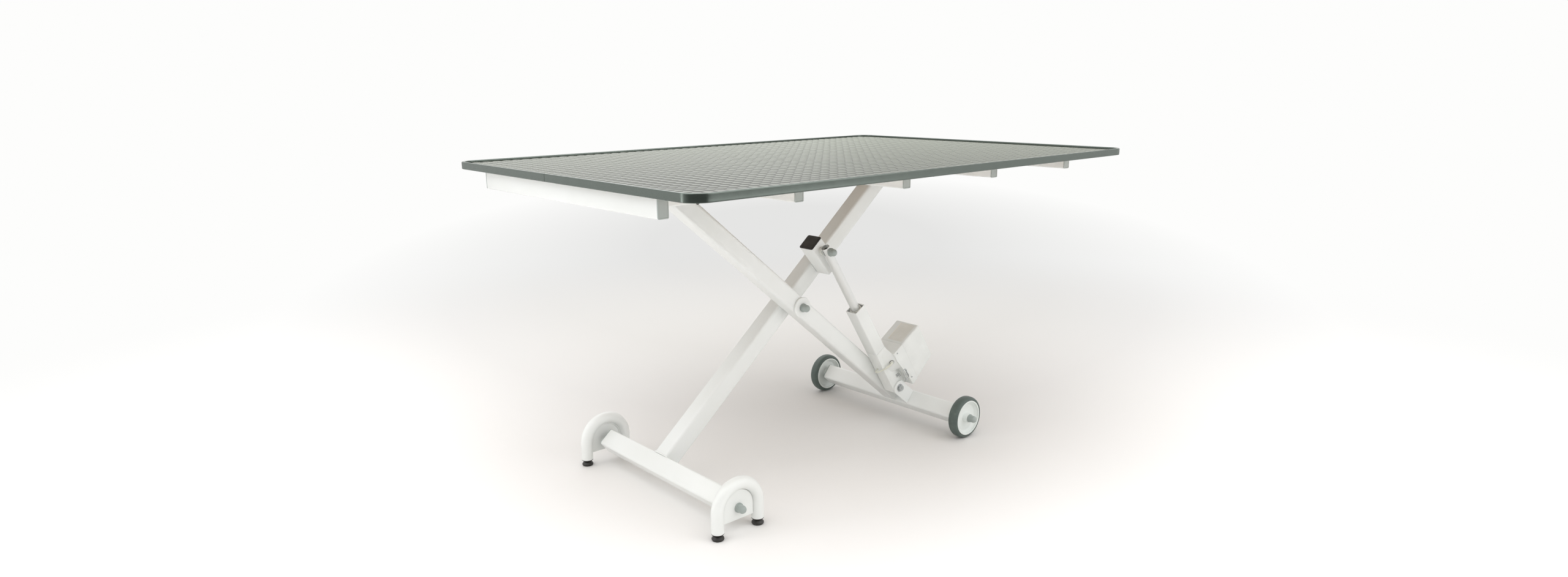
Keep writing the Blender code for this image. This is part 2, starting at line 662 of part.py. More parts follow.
def make_wheel_arm(centre):
    """The arm from the fixed top pivot down to the wheels, with its beam, ear, shaft and pivot."""
    outer, inner = square_outlines(ARM_SIDE, ARM_SIDE, ARM_WALL, ARM_CORNER)
    low_end = ARM_HALF - BEAM_HALF - GAP
    mesh = bar_mesh("wheel_arm", -low_end, ARM_HALF + ARM_END, outer, inner, end_slope)
    middle_y = -ARM_SPREAD / 2
    arm = put("wheel_arm", mesh, "white_enamel", centre, (0, middle_y, 0), (0, 0, math.pi))
    reach = ARM_SIDE / 2 + CUT_OVERRUN
    drill(arm, centre, BOLT_RADIUS + GAP, -reach, reach, (0, middle_y, 0))
    drill(arm, centre, SHAFT_RADIUS + GAP, -reach, reach, (-ARM_HALF, middle_y, 0))
    drill(arm, centre, DRIVE_BOLT_RADIUS + GAP, -reach, reach, (ARM_HALF - BOLT_BACK, middle_y, 0))

    wheel_end = axis_point("wheel_beam_middle", (ARM_HALF, 0, 0), parent=centre)
    cross_beam("wheel_beam", WHEEL_BEAM_LENGTH, wheel_end)

    head = RAIL_Y + GAP
    profile = [(0, -head - SHAFT_HEAD), (SHAFT_HEAD_RADIUS, -head - SHAFT_HEAD), (SHAFT_HEAD_RADIUS, -head)]
    profile += [(SHAFT_RADIUS, -head), (SHAFT_RADIUS, head), (SHAFT_HEAD_RADIUS, head)]
    profile += [(SHAFT_HEAD_RADIUS, head + SHAFT_HEAD), (0, head + SHAFT_HEAD)]
    put("top_shaft", turned_mesh("top_shaft", profile), "zinc", centre, (-ARM_HALF, 0, 0))

    inner_face = ARM_NEAR_FACE + GAP
    outer_face = inner_face + PIVOT_BOSS_THICKNESS
    profile = [(BOLT_RADIUS + GAP, -inner_face), (PIVOT_BOSS_RADIUS, -inner_face)]
    profile += [(PIVOT_BOSS_RADIUS, -outer_face), (BOLT_RADIUS + GAP, -outer_face)]
    put("pivot_boss", ring_mesh("pivot_boss", profile), "white_enamel", centre)

    profile = capped_bolt_profile(
        -outer_face, -1, BOLT_CAP_RADIUS, BOLT_CAP_LENGTH, BOLT_RADIUS, ARM_NEAR_FACE + GAP
    )
    far_face = ARM_NEAR_FACE + GAP
    profile = profile[:-1] + [(BOLT_COLLAR_RADIUS, far_face), (BOLT_COLLAR_RADIUS, far_face + BOLT_COLLAR)]
    profile += [(0, far_face + BOLT_COLLAR)]
    put("pivot_bolt", turned_mesh("pivot_bolt", profile), "cap_grey", centre)

    bolt_x = ARM_HALF - BOLT_BACK
    ear_start = bolt_x - EAR_END
    ear_end = ARM_HALF - BEAM_HALF - GAP
    round_start = EAR_HALF_WIDTH / 2
    outline = [
        (ear_start, round_start - EAR_HALF_WIDTH),
        (ear_start + round_start, -EAR_HALF_WIDTH),
        (ear_end, -EAR_HALF_WIDTH),
        (ear_end, EAR_HALF_WIDTH),
        (ear_start + round_start, EAR_HALF_WIDTH),
        (ear_start, EAR_HALF_WIDTH - round_start),
    ]
    ear_y = -(EAR_FAR_FACE + EAR_NEAR_FACE) / 2
    mesh = plate_mesh("drive_ear", outline, EAR_THICKNESS)
    ear = put("drive_ear", mesh, "white_enamel", centre, (0, ear_y, 0))
    reach = EAR_THICKNESS / 2 + CUT_OVERRUN
    drill(ear, centre, DRIVE_BOLT_RADIUS + GAP, -reach, reach, (bolt_x, ear_y, 0))

    washer = EAR_NEAR_FACE + GAP
    washer_top = washer + DRIVE_WASHER
    head_top = washer_top + DRIVE_BOLT_HEAD
    shank_end = ARM_GAP / 2 + GAP
    profile = [(0, -head_top), (DRIVE_BOLT_HEAD_RADIUS, -head_top), (DRIVE_BOLT_HEAD_RADIUS, -washer_top)]
    profile += [(DRIVE_WASHER_RADIUS, -washer_top), (DRIVE_WASHER_RADIUS, -washer)]
    profile += [(DRIVE_BOLT_RADIUS, -washer), (DRIVE_BOLT_RADIUS, -shank_end), (0, -shank_end)]
    put("drive_bolt", turned_mesh("drive_bolt", profile), "zinc", centre, (bolt_x, 0, 0))

    for side_name, side in SIDES:
        face = side * (WHEEL_Y + TYRE_WIDTH / 2 + HUB_STAND)
        shank_end = side * (WHEEL_BEAM_LENGTH / 2 - BOLT_GRIP)
        profile = capped_bolt_profile(face, side, BOLT_CAP_RADIUS, BOLT_CAP_LENGTH, BOLT_RADIUS, shank_end)
        name = f"axle_bolt_{side_name}"
        put(name, turned_mesh(name, profile), "cap_grey", wheel_end)


def tyre_section():
    """The tyre's section about its own middle: a crowned tread on a flat seat."""
    half = TYRE_WIDTH / 2
    seat = RIM_RADIUS + GAP
    crown_steps = 6
    crown_power = 4
    points = [(seat, -half)]
    for step in range(crown_steps + 1):
        share = 2 * step / crown_steps - 1
        points.append((WHEEL_RADIUS - TYRE_CROWN * share ** crown_power, half * share))
    return points + [(seat, half)]


def wheel_section():
    """The wheel's section about its own middle: rim, rim rings on both faces, thin disc and hub."""
    half = TYRE_WIDTH / 2
    bore = BOLT_RADIUS + GAP
    ring_in = RIM_RADIUS - RIM_RING_WIDTH
    disc = DISC_THICKNESS / 2 - 2 * GAP
    dish = half - RIM_RING_DEPTH
    right = [(HUB_RADIUS, disc), (ring_in - RIM_RING_DEPTH, disc), (ring_in, dish), (ring_in, half)]
    left = [(r, -y) for r, y in reversed(right)]
    hub = half + HUB_STAND
    return [(bore, -hub), (bore, hub), (HUB_RADIUS, hub)] + right + [
        (RIM_RADIUS, half),
        (RIM_RADIUS, -half),
    ] + left + [(HUB_RADIUS, -hub)]


def make_wheels(centre):
    """Two wheels on the ends of the wheel beam."""
    for side_name, side in SIDES:
        place = (ARM_HALF, side * WHEEL_Y, 0)
        axis = axis_point(f"wheel_axis_{side_name}", place, parent=centre)
        put(f"tyre_{side_name}", ring_mesh("tyre", tyre_section(), WHEEL_SIDES), "tyre_rubber", axis)
        put(f"wheel_{side_name}", ring_mesh("wheel", wheel_section(), WHEEL_SIDES), "wheel_white", axis)


def bent_tube_mesh(name, path, outer, wall, sides):
    """An open tube along a path in the XZ plane."""

    def build(bm):
        layers = {radius: [] for radius in (outer, outer - wall)}
        for index, point in enumerate(path):
            before = Vector(path[max(index - 1, 0)])
            after = Vector(path[min(index + 1, len(path) - 1)])
            along = (after - before).normalized()
            across = Vector((along.z, 0, -along.x))
            for radius, rings in layers.items():
                round_it = circle_points(radius, sides)
                rings.append([Vector(point) + across * a + Vector((0, b, 0)) for a, b in round_it])
        rings = layers[outer] + list(reversed(layers[outer - wall]))
        loft(bm, rings, closed=True)

    return mesh_from(name, build, SMOOTH)


def make_foot(axis, side_name, side):
    """One foot: an arch of tube, the web plate inside it and the bolt that carries the foot beam."""
    leg_x = FOOT_LEG_PITCH / 2
    bottom = FOOT_TUBE_BOTTOM - AXLE_HEIGHT
    path = [(-leg_x, 0, bottom)]
    for step in range(FOOT_ARC_STEPS + 1):
        angle = math.pi * (1 - step / FOOT_ARC_STEPS)
        path.append((leg_x * math.cos(angle), 0, leg_x * math.sin(angle)))
    path.append((leg_x, 0, bottom))
    mesh = bent_tube_mesh("foot_tube", path, FOOT_TUBE_RADIUS, FOOT_TUBE_WALL, FOOT_TUBE_SIDES)
    place = (0, side * FOOT_Y, 0)
    put(f"foot_tube_{side_name}", mesh, "white_enamel", axis, place)

    reach = (leg_x - FOOT_TUBE_RADIUS) * math.cos(math.pi / FOOT_ARC_STEPS / 2) - GAP
    outline = [(reach, WEB_BOTTOM - AXLE_HEIGHT)]
    for step in range(FOOT_ARC_STEPS + 1):
        angle = math.pi * step / FOOT_ARC_STEPS
        outline.append((reach * math.cos(angle), reach * math.sin(angle)))
    outline.append((-reach, WEB_BOTTOM - AXLE_HEIGHT))
    name = f"foot_web_{side_name}"
    web = put(name, plate_mesh(name, outline, WEB_THICKNESS), "white_enamel", axis, place)
    through = WEB_THICKNESS / 2 + CUT_OVERRUN
    drill(web, axis, BOLT_RADIUS + GAP, -through, through, place)

    face = side * (FOOT_Y + WEB_THICKNESS / 2)
    shank_end = side * (FOOT_BEAM_LENGTH / 2 - BOLT_GRIP)
    profile = capped_bolt_profile(face, side, BOLT_CAP_RADIUS, BOLT_CAP_LENGTH, BOLT_RADIUS, shank_end)
    name = f"foot_bolt_{side_name}"
    put(name, turned_mesh(name, profile), "cap_grey", axis)


def make_levelling_feet():
    """Four levelling feet: a flared pad, a neck and the insert that plugs the tube's end."""
    flange_top = FOOT_TUBE_BOTTOM - GAP
    flange_low = flange_top - INSERT_FLANGE
    insert_radius = FOOT_TUBE_RADIUS - FOOT_TUBE_WALL - 2 * GAP
    flange_radius = FOOT_TUBE_RADIUS + INSERT_FLANGE_STAND
    profile = [(0, 0), (PAD_RADIUS - PAD_CHAMFER, 0), (PAD_RADIUS, PAD_CHAMFER)]
    profile += [(PAD_RADIUS, PAD_RIM_HEIGHT), (PAD_NECK_RADIUS, PAD_NECK_HEIGHT)]
    profile += [(PAD_NECK_RADIUS, flange_low), (flange_radius, flange_low), (flange_radius, flange_top)]
    profile += [(insert_radius, flange_top), (insert_radius, flange_top + INSERT_DEPTH)]
    profile += [(0, flange_top + INSERT_DEPTH)]
    for side_name, side in SIDES:
        for end_name, end in (("outer", -1), ("inner", 1)):
            place = (end * FOOT_LEG_PITCH / 2 - FOOT_OFFSET, side * FOOT_Y, 0)
            name = f"levelling_foot_{side_name}_{end_name}"
            put(name, turned_mesh(name, profile, axis="Z"), "black_plastic", place=place)


def drive_line():
    """Length from the lower bolt to the rod's pin, and the drive's slope against the wheel arm, at rest."""
    opening = 2 * REST_ANGLE + math.atan2(PIN_UP, PIN_ALONG)
    reach = math.hypot(PIN_ALONG, PIN_UP)
    along = reach * math.cos(opening) - (ARM_HALF - BOLT_BACK)
    across = reach * math.sin(opening)
    return math.hypot(along, across), math.atan2(across, -along)


def make_rod(drive, length):
    """The rod with its pin and spacer, in the drive's frame: the pin stands at -length on X."""
    outer = circle_points(ROD_RADIUS)
    inner = circle_points(ROD_RADIUS - ROD_WALL)
    start = -length - ROD_OVER_PIN
    mesh = bar_mesh("rod", start, start + ROD_LENGTH, outer, inner)
    rod = put("rod", mesh, "zinc", drive, (0, -DRIVE_OFFSET, 0))
    reach = ROD_RADIUS + CUT_OVERRUN
    drill(rod, drive, PIN_RADIUS + GAP, -reach, reach, (-length, -DRIVE_OFFSET, 0))
    slot_low = (start - CUT_OVERRUN, -ROD_SLOT_WIDTH / 2, -ROD_RADIUS - CUT_OVERRUN)
    carve(rod, drive, slot_low, (start + ROD_SLOT_LENGTH, ROD_SLOT_WIDTH / 2, 0), (0, -DRIVE_OFFSET, 0))

    inner_end = -BRACKET_NEAR_FACE - GAP
    face = -DRIVE_OFFSET - ROD_RADIUS
    profile = capped_bolt_profile(face, -1, PIN_CAP_RADIUS, PIN_CAP_LENGTH, PIN_RADIUS, inner_end)
    put("rod_pin", turned_mesh("rod_pin", profile), "cap_grey", drive, (-length, 0, 0))
    outer_end = -DRIVE_OFFSET + ROD_RADIUS + GAP
    bore = PIN_RADIUS + GAP
    profile = [(bore, inner_end), (SPACER_RADIUS, inner_end), (SPACER_RADIUS, outer_end), (bore, outer_end)]
    put("pin_spacer", ring_mesh("pin_spacer", profile), "nylon", drive, (-length, 0, 0))


def make_drive(drive):
    """The drive's outer tube, guide bush, gearbox, motor box, lead and wire catch."""
    middle = (0, -DRIVE_OFFSET, 0)
    outer, inner = square_outlines(DRIVE_TUBE_WIDTH, DRIVE_TUBE_HEIGHT, DRIVE_TUBE_WALL, DRIVE_TUBE_CORNER)
    mesh = bar_mesh("drive_tube", -DRIVE_TUBE_TOP, -GEARBOX_TOP - GAP, outer, inner)
    put("drive_tube", mesh, "white_enamel", drive, middle)

    bush_outer = rounded_outline(
        DRIVE_TUBE_WIDTH - 2 * (DRIVE_TUBE_WALL + GAP),
        DRIVE_TUBE_HEIGHT - 2 * (DRIVE_TUBE_WALL + GAP),
        BUSH_CORNER,
    )
    bush_start = BUSH_RECESS - DRIVE_TUBE_TOP
    mesh = bar_mesh("guide_bush", bush_start, bush_start + BUSH_LENGTH, bush_outer)
    bush = put("guide_bush", mesh, "nylon", drive, middle)
    low = bush_start - CUT_OVERRUN
    drill(bush, drive, ROD_RADIUS + GAP, low, low + BUSH_LENGTH + 2 * CUT_OVERRUN, middle, "X")

    half = DRIVE_TUBE_HEIGHT / 2
    outline = [
        (-GEARBOX_TOP, -half),
        (GEARBOX_SHOULDER, -half),
        (GEARBOX_NOSE, -GEARBOX_NOSE_LOW),
        (GEARBOX_NOSE, GEARBOX_NOSE_HIGH),
        (GEARBOX_SHOULDER, half),
        (-GEARBOX_TOP, half),
    ]
    mesh = plate_mesh("gearbox", outline, DRIVE_TUBE_WIDTH)
    gearbox = put("gearbox", mesh, "motor_plastic", drive, middle)
    drill(gearbox, drive, GEARBOX_BORE_RADIUS, -GEARBOX_TOP - CUT_OVERRUN, -GEARBOX_BORE_END, middle, "X")
    reach = DRIVE_TUBE_WIDTH / 2 + CUT_OVERRUN
    drill(gearbox, drive, DRIVE_BOLT_RADIUS + GAP, -reach, reach, middle)

    seat = half + GAP
    outline = [
        (-MOTOR_TOP, seat),
        (-MOTOR_SEAT_PLACE, seat),
        (-MOTOR_WAIST_PLACE, MOTOR_WAIST),
        (MOTOR_LOW, MOTOR_FOOT),
        (MOTOR_COVER_LOW, MOTOR_PARTING - GAP),
        (-MOTOR_TOP, MOTOR_PARTING - GAP),
    ]
    mesh = plate_mesh("motor_base", outline, MOTOR_WIDTH)
    base = put("motor_base", mesh, "motor_plastic", drive, middle)
    soften(base, MOTOR_ROUND / 2)

    outline = [
        (-MOTOR_TOP, MOTOR_PARTING),
        (MOTOR_COVER_LOW, MOTOR_PARTING),
        (MOTOR_COVER_LOW - MOTOR_COVER_RISE, MOTOR_HIGH),
        (-MOTOR_TOP, MOTOR_HIGH),
    ]
    mesh = plate_mesh("motor_cover", outline, MOTOR_WIDTH)
    cover = put("motor_cover", mesh, "motor_plastic", drive, middle)
    soften(cover, MOTOR_ROUND)
    low = (MOTOR_WALL - MOTOR_TOP, MOTOR_WALL - MOTOR_WIDTH / 2, MOTOR_PARTING - CUT_OVERRUN)
    far_end = MOTOR_COVER_LOW - MOTOR_COVER_RISE - MOTOR_WALL
    high = (far_end, MOTOR_WIDTH / 2 - MOTOR_WALL, MOTOR_HIGH - MOTOR_WALL)
    carve(cover, drive, low, high, middle)

    make_lead(drive)
    make_catch(drive)


def soften(item, width):
    """Round the upright edges and rims of a moulded box."""
    step = item.modifiers.new("soften", "BEVEL")
    step.width = width
    step.segments = MOTOR_ROUND_STEPS
    step.limit_method = "ANGLE"
    step.angle_limit = MOTOR_EDGE_ANGLE


def curve_tube(name, points, radius, finish, parent, place=(0, 0, 0), cyclic=False):
    """A round wire or lead along points, as a curve with a bevel."""
    curve = bpy.data.curves.new(name, "CURVE")
    curve.dimensions = "3D"
    curve.bevel_depth = radius
    curve.bevel_resolution = 2
    curve.use_fill_caps = not cyclic
    spline = curve.splines.new("POLY")
    spline.points.add(len(points) - 1)
    for slot, point in zip(spline.points, points):
        slot.co = (*point, 1.0)
    spline.use_cyclic_u = cyclic
    return put(name, curve, finish, parent, place)


def make_lead(drive):
    """The short lead from a socket on the gearbox's face round its edge into its side."""
    start = Vector((-LEAD_START_PLACE, -GEARBOX_NEAR_FACE - GAP, LEAD_START_HIGH))
    end = Vector((-LEAD_END_PLACE, -LEAD_END_DEPTH, -DRIVE_TUBE_HEIGHT / 2 - GAP))
    outward = Vector((0, -LEAD_RADIUS, 0))
    sideways = Vector((0, 0, -LEAD_RADIUS))
    bend_start = start + outward
    bend_end = end + sideways
    pull_start = bend_start + outward * LEAD_BOW_OUT / LEAD_RADIUS
    pull_end = bend_end + sideways * LEAD_BOW_BACK / LEAD_RADIUS
    points = [start]
    for step in range(LEAD_STEPS + 1):
        t = step / LEAD_STEPS
        s = 1 - t
        point = bend_start * s ** 3 + pull_start * (3 * s * s * t)
        points.append(point + pull_end * (3 * s * t * t) + bend_end * t ** 3)
    curve_tube("motor_lead", points + [end], LEAD_RADIUS, "lead_white", drive)


def make_catch(drive):
    """The wire catch on the motor base: a narrow loop that hangs from its upper leg and swings out."""
    stand = MOTOR_WIDTH / 2 + GAP + CATCH_WIRE_RADIUS
    place = (-CATCH_PLACE, -DRIVE_OFFSET - stand, CATCH_HINGE_HIGH)
    axis = axis_point("catch_axis", place, parent=drive)
    loop = rounded_outline(CATCH_LENGTH, CATCH_WIDTH, CATCH_CORNER, CATCH_CORNER_STEPS)
    points = [(x, 0, z - CATCH_WIDTH / 2) for x, z in loop]
    curve_tube("wire_catch", points, CATCH_WIRE_RADIUS, "zinc", axis, cyclic=True)


def build_table():
    """Set up the joint axes and hang every piece on them."""
    clear_scene()
    feet = axis_point("foot_axis", (-FOOT_OFFSET, 0, AXLE_HEIGHT))
    low = axis_point("lift_axis", (-FOOT_OFFSET, 0, AXLE_HEIGHT), -REST_ANGLE)
    centre = axis_point("centre_axis", (ARM_HALF, 0, 0), 2 * REST_ANGLE, low)
    top = axis_point("top_axis", (-ARM_HALF, 0, 0), -REST_ANGLE, centre)
    length, slope = drive_line()
    drive = axis_point("drive_axis", (ARM_HALF - BOLT_BACK, 0, 0), slope, centre)
    make_top(top)
    make_frame(top)
    make_foot_arm(low)
    make_rollers(low)
    make_wheel_arm(centre)
    make_wheels(centre)
    for side_name, side in SIDES:
        make_foot(feet, side_name, side)
    make_levelling_feet()
    make_rod(drive, length)
    make_drive(drive)
    bpy.context.view_layer.update()


build_table()
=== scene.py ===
# %% [markdown]
# # A lift table for the animal clinic
#
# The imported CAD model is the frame: it says where every piece is, how large it is and what moves it.
# This lesson dresses it. Each piece is built again with the rounded edges, welds, studs and ribs of the
# real one, in the place that the frame gives, and gets a finish made of nodes. We read all places from
# the frame, so that nothing here can drift away from the part that moves.

import json
import math

import bmesh
import bpy
import numpy as np
from mathutils import Matrix, Vector


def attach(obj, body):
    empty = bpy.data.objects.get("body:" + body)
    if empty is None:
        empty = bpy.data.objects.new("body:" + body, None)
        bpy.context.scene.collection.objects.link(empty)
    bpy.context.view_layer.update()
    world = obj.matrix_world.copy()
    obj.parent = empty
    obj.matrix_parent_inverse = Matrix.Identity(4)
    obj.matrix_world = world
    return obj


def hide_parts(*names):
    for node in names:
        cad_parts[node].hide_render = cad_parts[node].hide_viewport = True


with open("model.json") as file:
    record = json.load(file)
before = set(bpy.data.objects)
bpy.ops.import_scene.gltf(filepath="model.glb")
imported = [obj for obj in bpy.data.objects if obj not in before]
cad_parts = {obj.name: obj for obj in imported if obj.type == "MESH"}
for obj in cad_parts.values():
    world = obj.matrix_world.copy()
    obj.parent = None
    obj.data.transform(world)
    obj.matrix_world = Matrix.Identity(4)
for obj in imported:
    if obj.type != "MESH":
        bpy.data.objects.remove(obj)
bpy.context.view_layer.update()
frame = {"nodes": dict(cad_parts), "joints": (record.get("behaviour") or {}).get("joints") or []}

# %% [markdown]
# ## Lines to build along
#
# A scissor table is a set of slanted lines. Building a piece in its own straight frame and then laying
# that frame on the line is much easier than working out slanted corners. `slanted` makes such a frame
# with its X along a direction and its Y across the table. `crosswise` makes one for turned pieces, with
# its Z along the table's width, outwards on the near or the far side.

# %% Frames on the joints
joints = {joint["name"]: joint for joint in frame["joints"]}


def joint_point(name):
    """A joint's place, brought to the middle of the table's width."""
    x, _, z = joints[name]["pos_m"]
    return Vector((x, 0, z))


def slanted(point, direction):
    """A frame at a point with X along a direction in the upright plane and Y across the table."""
    along = Vector((direction[0], 0, direction[2])).normalized()
    across = Vector((0, 1, 0))
    up = along.cross(across)
    turn = Matrix((along, across, up)).transposed().to_4x4()
    return Matrix.Translation(point) @ turn


def crosswise(point, side):
    """A frame at a point with Z across the table: towards the camera side for -1, away for 1."""
    out = Vector((0, side, 0))
    ahead = Vector((1, 0, 0))
    turn = Matrix((ahead, out.cross(ahead), out)).transposed().to_4x4()
    return Matrix.Translation(point) @ turn


feet = joint_point("lift")
centre = joint_point("scissor_pivot")
top_pivot = joint_point("top_pivot")
axle = joint_point("near_wheel_spin")
drive_bolt = joint_point("drive_pivot")
upright = Matrix.Identity(4)
foot_line = slanted(feet, centre - feet)
wheel_line = slanted(centre, axle - centre)
drive_line = slanted(drive_bolt, -Vector(joints["rod_slide"]["axis"]))
sides = (("near", -1), ("far", 1))
print("arm half:", round((centre - feet).length, 4), "m")

# %% [markdown]
# A CAD node tells its size through its points. Seen from a slanted frame, the box round those points is
# the piece's own width, height and length, which is what we build from.

# %% Measure a CAD node in a frame of our own


def span(node, place=upright):
    """Lowest and highest corner of a CAD node, seen in a frame."""
    back = place.inverted()
    points = np.array([back @ vert.co for vert in frame["nodes"][node].data.vertices])
    return Vector(points.min(0)), Vector(points.max(0))


arm_low, arm_high = span("foot_arm", foot_line)
print("foot arm, along its line:", [round(value, 4) for value in (*arm_low, *arm_high)])

# %% [markdown]
# ## Camera
#
# The camera stands where the photographer stood. Its lens and place were solved from some forty points
# of the object, so they are written as plain numbers. Three turns are enough: yaw about the upright,
# pitch up or down, and a slight roll. `AWAY` is the level way from the camera across the table.

# %% Camera
CAMERA_PLACE = Vector((-1.69631, -1.78766, 1.003644))
CAMERA_YAW = math.radians(41.94706)
CAMERA_PITCH = math.radians(-12.76305)
CAMERA_ROLL = math.radians(-0.48621)
AWAY = Vector((0.668, 0.744, 0))
SENSOR_WIDTH = 36.0
FOCUS_IN_PIXELS = 1500.4833
IMAGE_WIDTH = 2560

camera_data = bpy.data.cameras.new("camera")
camera_data.sensor_width = SENSOR_WIDTH
camera_data.lens = FOCUS_IN_PIXELS / IMAGE_WIDTH * SENSOR_WIDTH
camera_data.clip_end = 60.0
camera = bpy.data.objects.new("camera", camera_data)
bpy.context.scene.collection.objects.link(camera)
look_up = math.radians(90) + CAMERA_PITCH
turns = Matrix.Rotation(-CAMERA_YAW, 4, "Z") @ Matrix.Rotation(look_up, 4, "X")
camera.matrix_world = Matrix.Translation(CAMERA_PLACE) @ turns @ Matrix.Rotation(CAMERA_ROLL, 4, "Z")
bpy.context.scene.camera = camera
print("lens:", round(camera_data.lens, 2), "mm")

# %% [markdown]
# ## Node helper
#
# A finish is a small tree of shader nodes. `node` adds one node and fills or links its inputs by name,
# so that each finish below reads like a recipe. `paint` turns a colour from a paint chart, 0 to 255,
# into the linear numbers that a shader wants.

# %% Node helper


def node(tree, kind, inputs=None, **settings):
    """Add a shader node; an input is a value or another node's socket."""
    made = tree.nodes.new("ShaderNode" + kind)
    for key, value in settings.items():
        setattr(made, key, value)
    for key, value in (inputs or {}).items():
        if isinstance(value, bpy.types.NodeSocket):
            tree.links.new(value, made.inputs[key])
        else:
            made.inputs[key].default_value = value
    return made


def paint(red, green, blue):
    """A paint chart colour as a linear colour with alpha."""
    shares = [value / 255 for value in (red, green, blue)]
    linear = [s / 12.92 if s <= 0.04045 else ((s + 0.055) / 1.055) ** 2.4 for s in shares]
    return (*linear, 1.0)


def ramp(tree, factor, stops):
    """A colour from a factor, through (place, colour) stops."""
    made = node(tree, "ValToRGB", {"Fac": factor})
    bands = made.color_ramp.elements
    while len(bands) < len(stops):
        bands.new(0.5)
    for band, (place, colour) in zip(bands, stops):
        band.position = place
        band.color = colour
    return made.outputs["Color"]


def rescale(tree, value, low, high, to_low, to_high):
    """A value moved from one range to another."""
    inputs = {"Value": value, "From Min": low, "From Max": high, "To Min": to_low, "To Max": to_high}
    return node(tree, "MapRange", inputs).outputs["Result"]


print("white paint, linear:", [round(value, 3) for value in paint(236, 237, 233)])

# %% [markdown]
# ## Floor, backdrop and light
#
# The photo was taken in a white sweep with soft light from above and from the left. One wide floor
# takes the soft shadows; far out it melts into a white world, which only the camera and mirror rays
# see. Behind the table the floor carries painted shade: its colour and the glow that the camera sees
# are greyer in a wide oval there.
# The light on the object comes from one very wide lamp above, four smaller soft ones round the table
# and a pale ambient, kept low enough that a colour renders about as it is written. Mirror rays also see
# that the near end of the room is dark: it gives the rounded corner of the tabletop its black.

# %% What each kind of ray sees


def seen_by_camera(tree):
    """1 for camera, mirror and glass rays, 0 for the rays that light the object."""
    path = node(tree, "LightPath").outputs
    first = node(tree, "Math", {0: path["Is Camera Ray"], 1: path["Is Glossy Ray"]}, operation="MAXIMUM")
    inputs = {0: first.outputs["Value"], 1: path["Is Transmission Ray"]}
    return node(tree, "Math", inputs, operation="MAXIMUM").outputs["Value"]


def dark_end(tree, direction):
    """0 to 1 for mirror rays that look toward the unlit near end of the room."""
    toward = node(tree, "VectorMath", {0: direction, 1: -AWAY}, operation="DOT_PRODUCT")
    mirrored = node(tree, "LightPath").outputs["Is Glossy Ray"]
    inputs = {0: rescale(tree, toward.outputs["Value"], 0.2, 0.75, 0.0, 1.0), 1: mirrored}
    return node(tree, "Math", inputs, operation="MULTIPLY").outputs["Value"]


print("mirror rays find the dark end along", [round(value, 2) for value in -AWAY])

# %% Floor
FLOOR_SIZE = 40.0
FADE_START = 1.1
FADE_END = 3.2
SHADE_OVAL_MIDDLE = Vector((2.34, 2.60, 0))
SHADE_OVAL_TURN = math.radians(48)
SHADE_OVAL_HALF = Vector((4.4, 2.6, 1.0))
FLOOR_REACH = 1.25


def floor_finish():
    """Matt white vinyl fading into the white sweep, with painted shade in an oval behind the table."""
    material = bpy.data.materials.new("studio_floor")
    material.use_nodes = True
    tree = material.node_tree
    matt = tree.nodes["Principled BSDF"]
    matt.inputs["Roughness"].default_value = 0.85
    matt.inputs["Specular IOR Level"].default_value = 0.2
    place = node(tree, "TexCoord").outputs["Object"]
    turn = (0, 0, SHADE_OVAL_TURN)
    inputs = {"Vector": place, "Location": SHADE_OVAL_MIDDLE, "Rotation": turn, "Scale": SHADE_OVAL_HALF}
    oval = node(tree, "Mapping", inputs, vector_type="TEXTURE").outputs["Vector"]
    off_middle = node(tree, "VectorMath", {0: oval}, operation="LENGTH").outputs["Value"]
    # Painted shade: the glow that the camera sees is greyer in the oval behind the table.
    grey = [(0.35, paint(229, 229, 228)), (0.7, paint(242, 242, 241)), (1.0, paint(253, 253, 252))]
    outward = node(tree, "VectorMath", {0: place}, operation="NORMALIZE").outputs["Vector"]
    strength = rescale(tree, dark_end(tree, outward), 0.0, 1.0, 1.0, 0.0)
    glow = node(tree, "Emission", {"Color": ramp(tree, off_middle, grey), "Strength": strength})
    # Painted shade: the floor's own colour is darker in the oval behind the table.
    vinyl = [(0.48, paint(219, 217, 214)), (0.6, paint(226, 224, 222)), (0.69, paint(240, 238, 236)),
             (0.8, paint(252, 251, 250))]
    outness = rescale(tree, off_middle, 0.0, FLOOR_REACH, 0.0, 1.0)
    tree.links.new(ramp(tree, outness, vinyl), matt.inputs["Base Color"])
    distance = node(tree, "VectorMath", {0: place}, operation="LENGTH").outputs["Value"]
    inputs = {"Value": distance, "From Min": FADE_START, "From Max": FADE_END}
    fade = node(tree, "MapRange", inputs, interpolation_type="SMOOTHSTEP").outputs["Result"]
    seen = node(tree, "Math", {0: fade, 1: seen_by_camera(tree)}, operation="MULTIPLY")
    inputs = {"Fac": seen.outputs["Value"], 1: matt.outputs[0], 2: glow.outputs[0]}
    mix = node(tree, "MixShader", inputs)
    tree.links.new(mix.outputs[0], tree.nodes["Material Output"].inputs["Surface"])
    return material


floor_mesh = bpy.data.meshes.new("studio_floor")
reach = FLOOR_SIZE / 2
corners = [(-reach, -reach, 0), (reach, -reach, 0), (reach, reach, 0), (-reach, reach, 0)]
floor_mesh.from_pydata(corners, [], [(0, 1, 2, 3)])
floor_mesh.materials.append(floor_finish())
floor = bpy.data.objects.new("studio_floor", floor_mesh)
bpy.context.scene.collection.objects.link(floor)
print("floor:", FLOOR_SIZE, "m wide, fades out from", FADE_START, "to", FADE_END, "m")

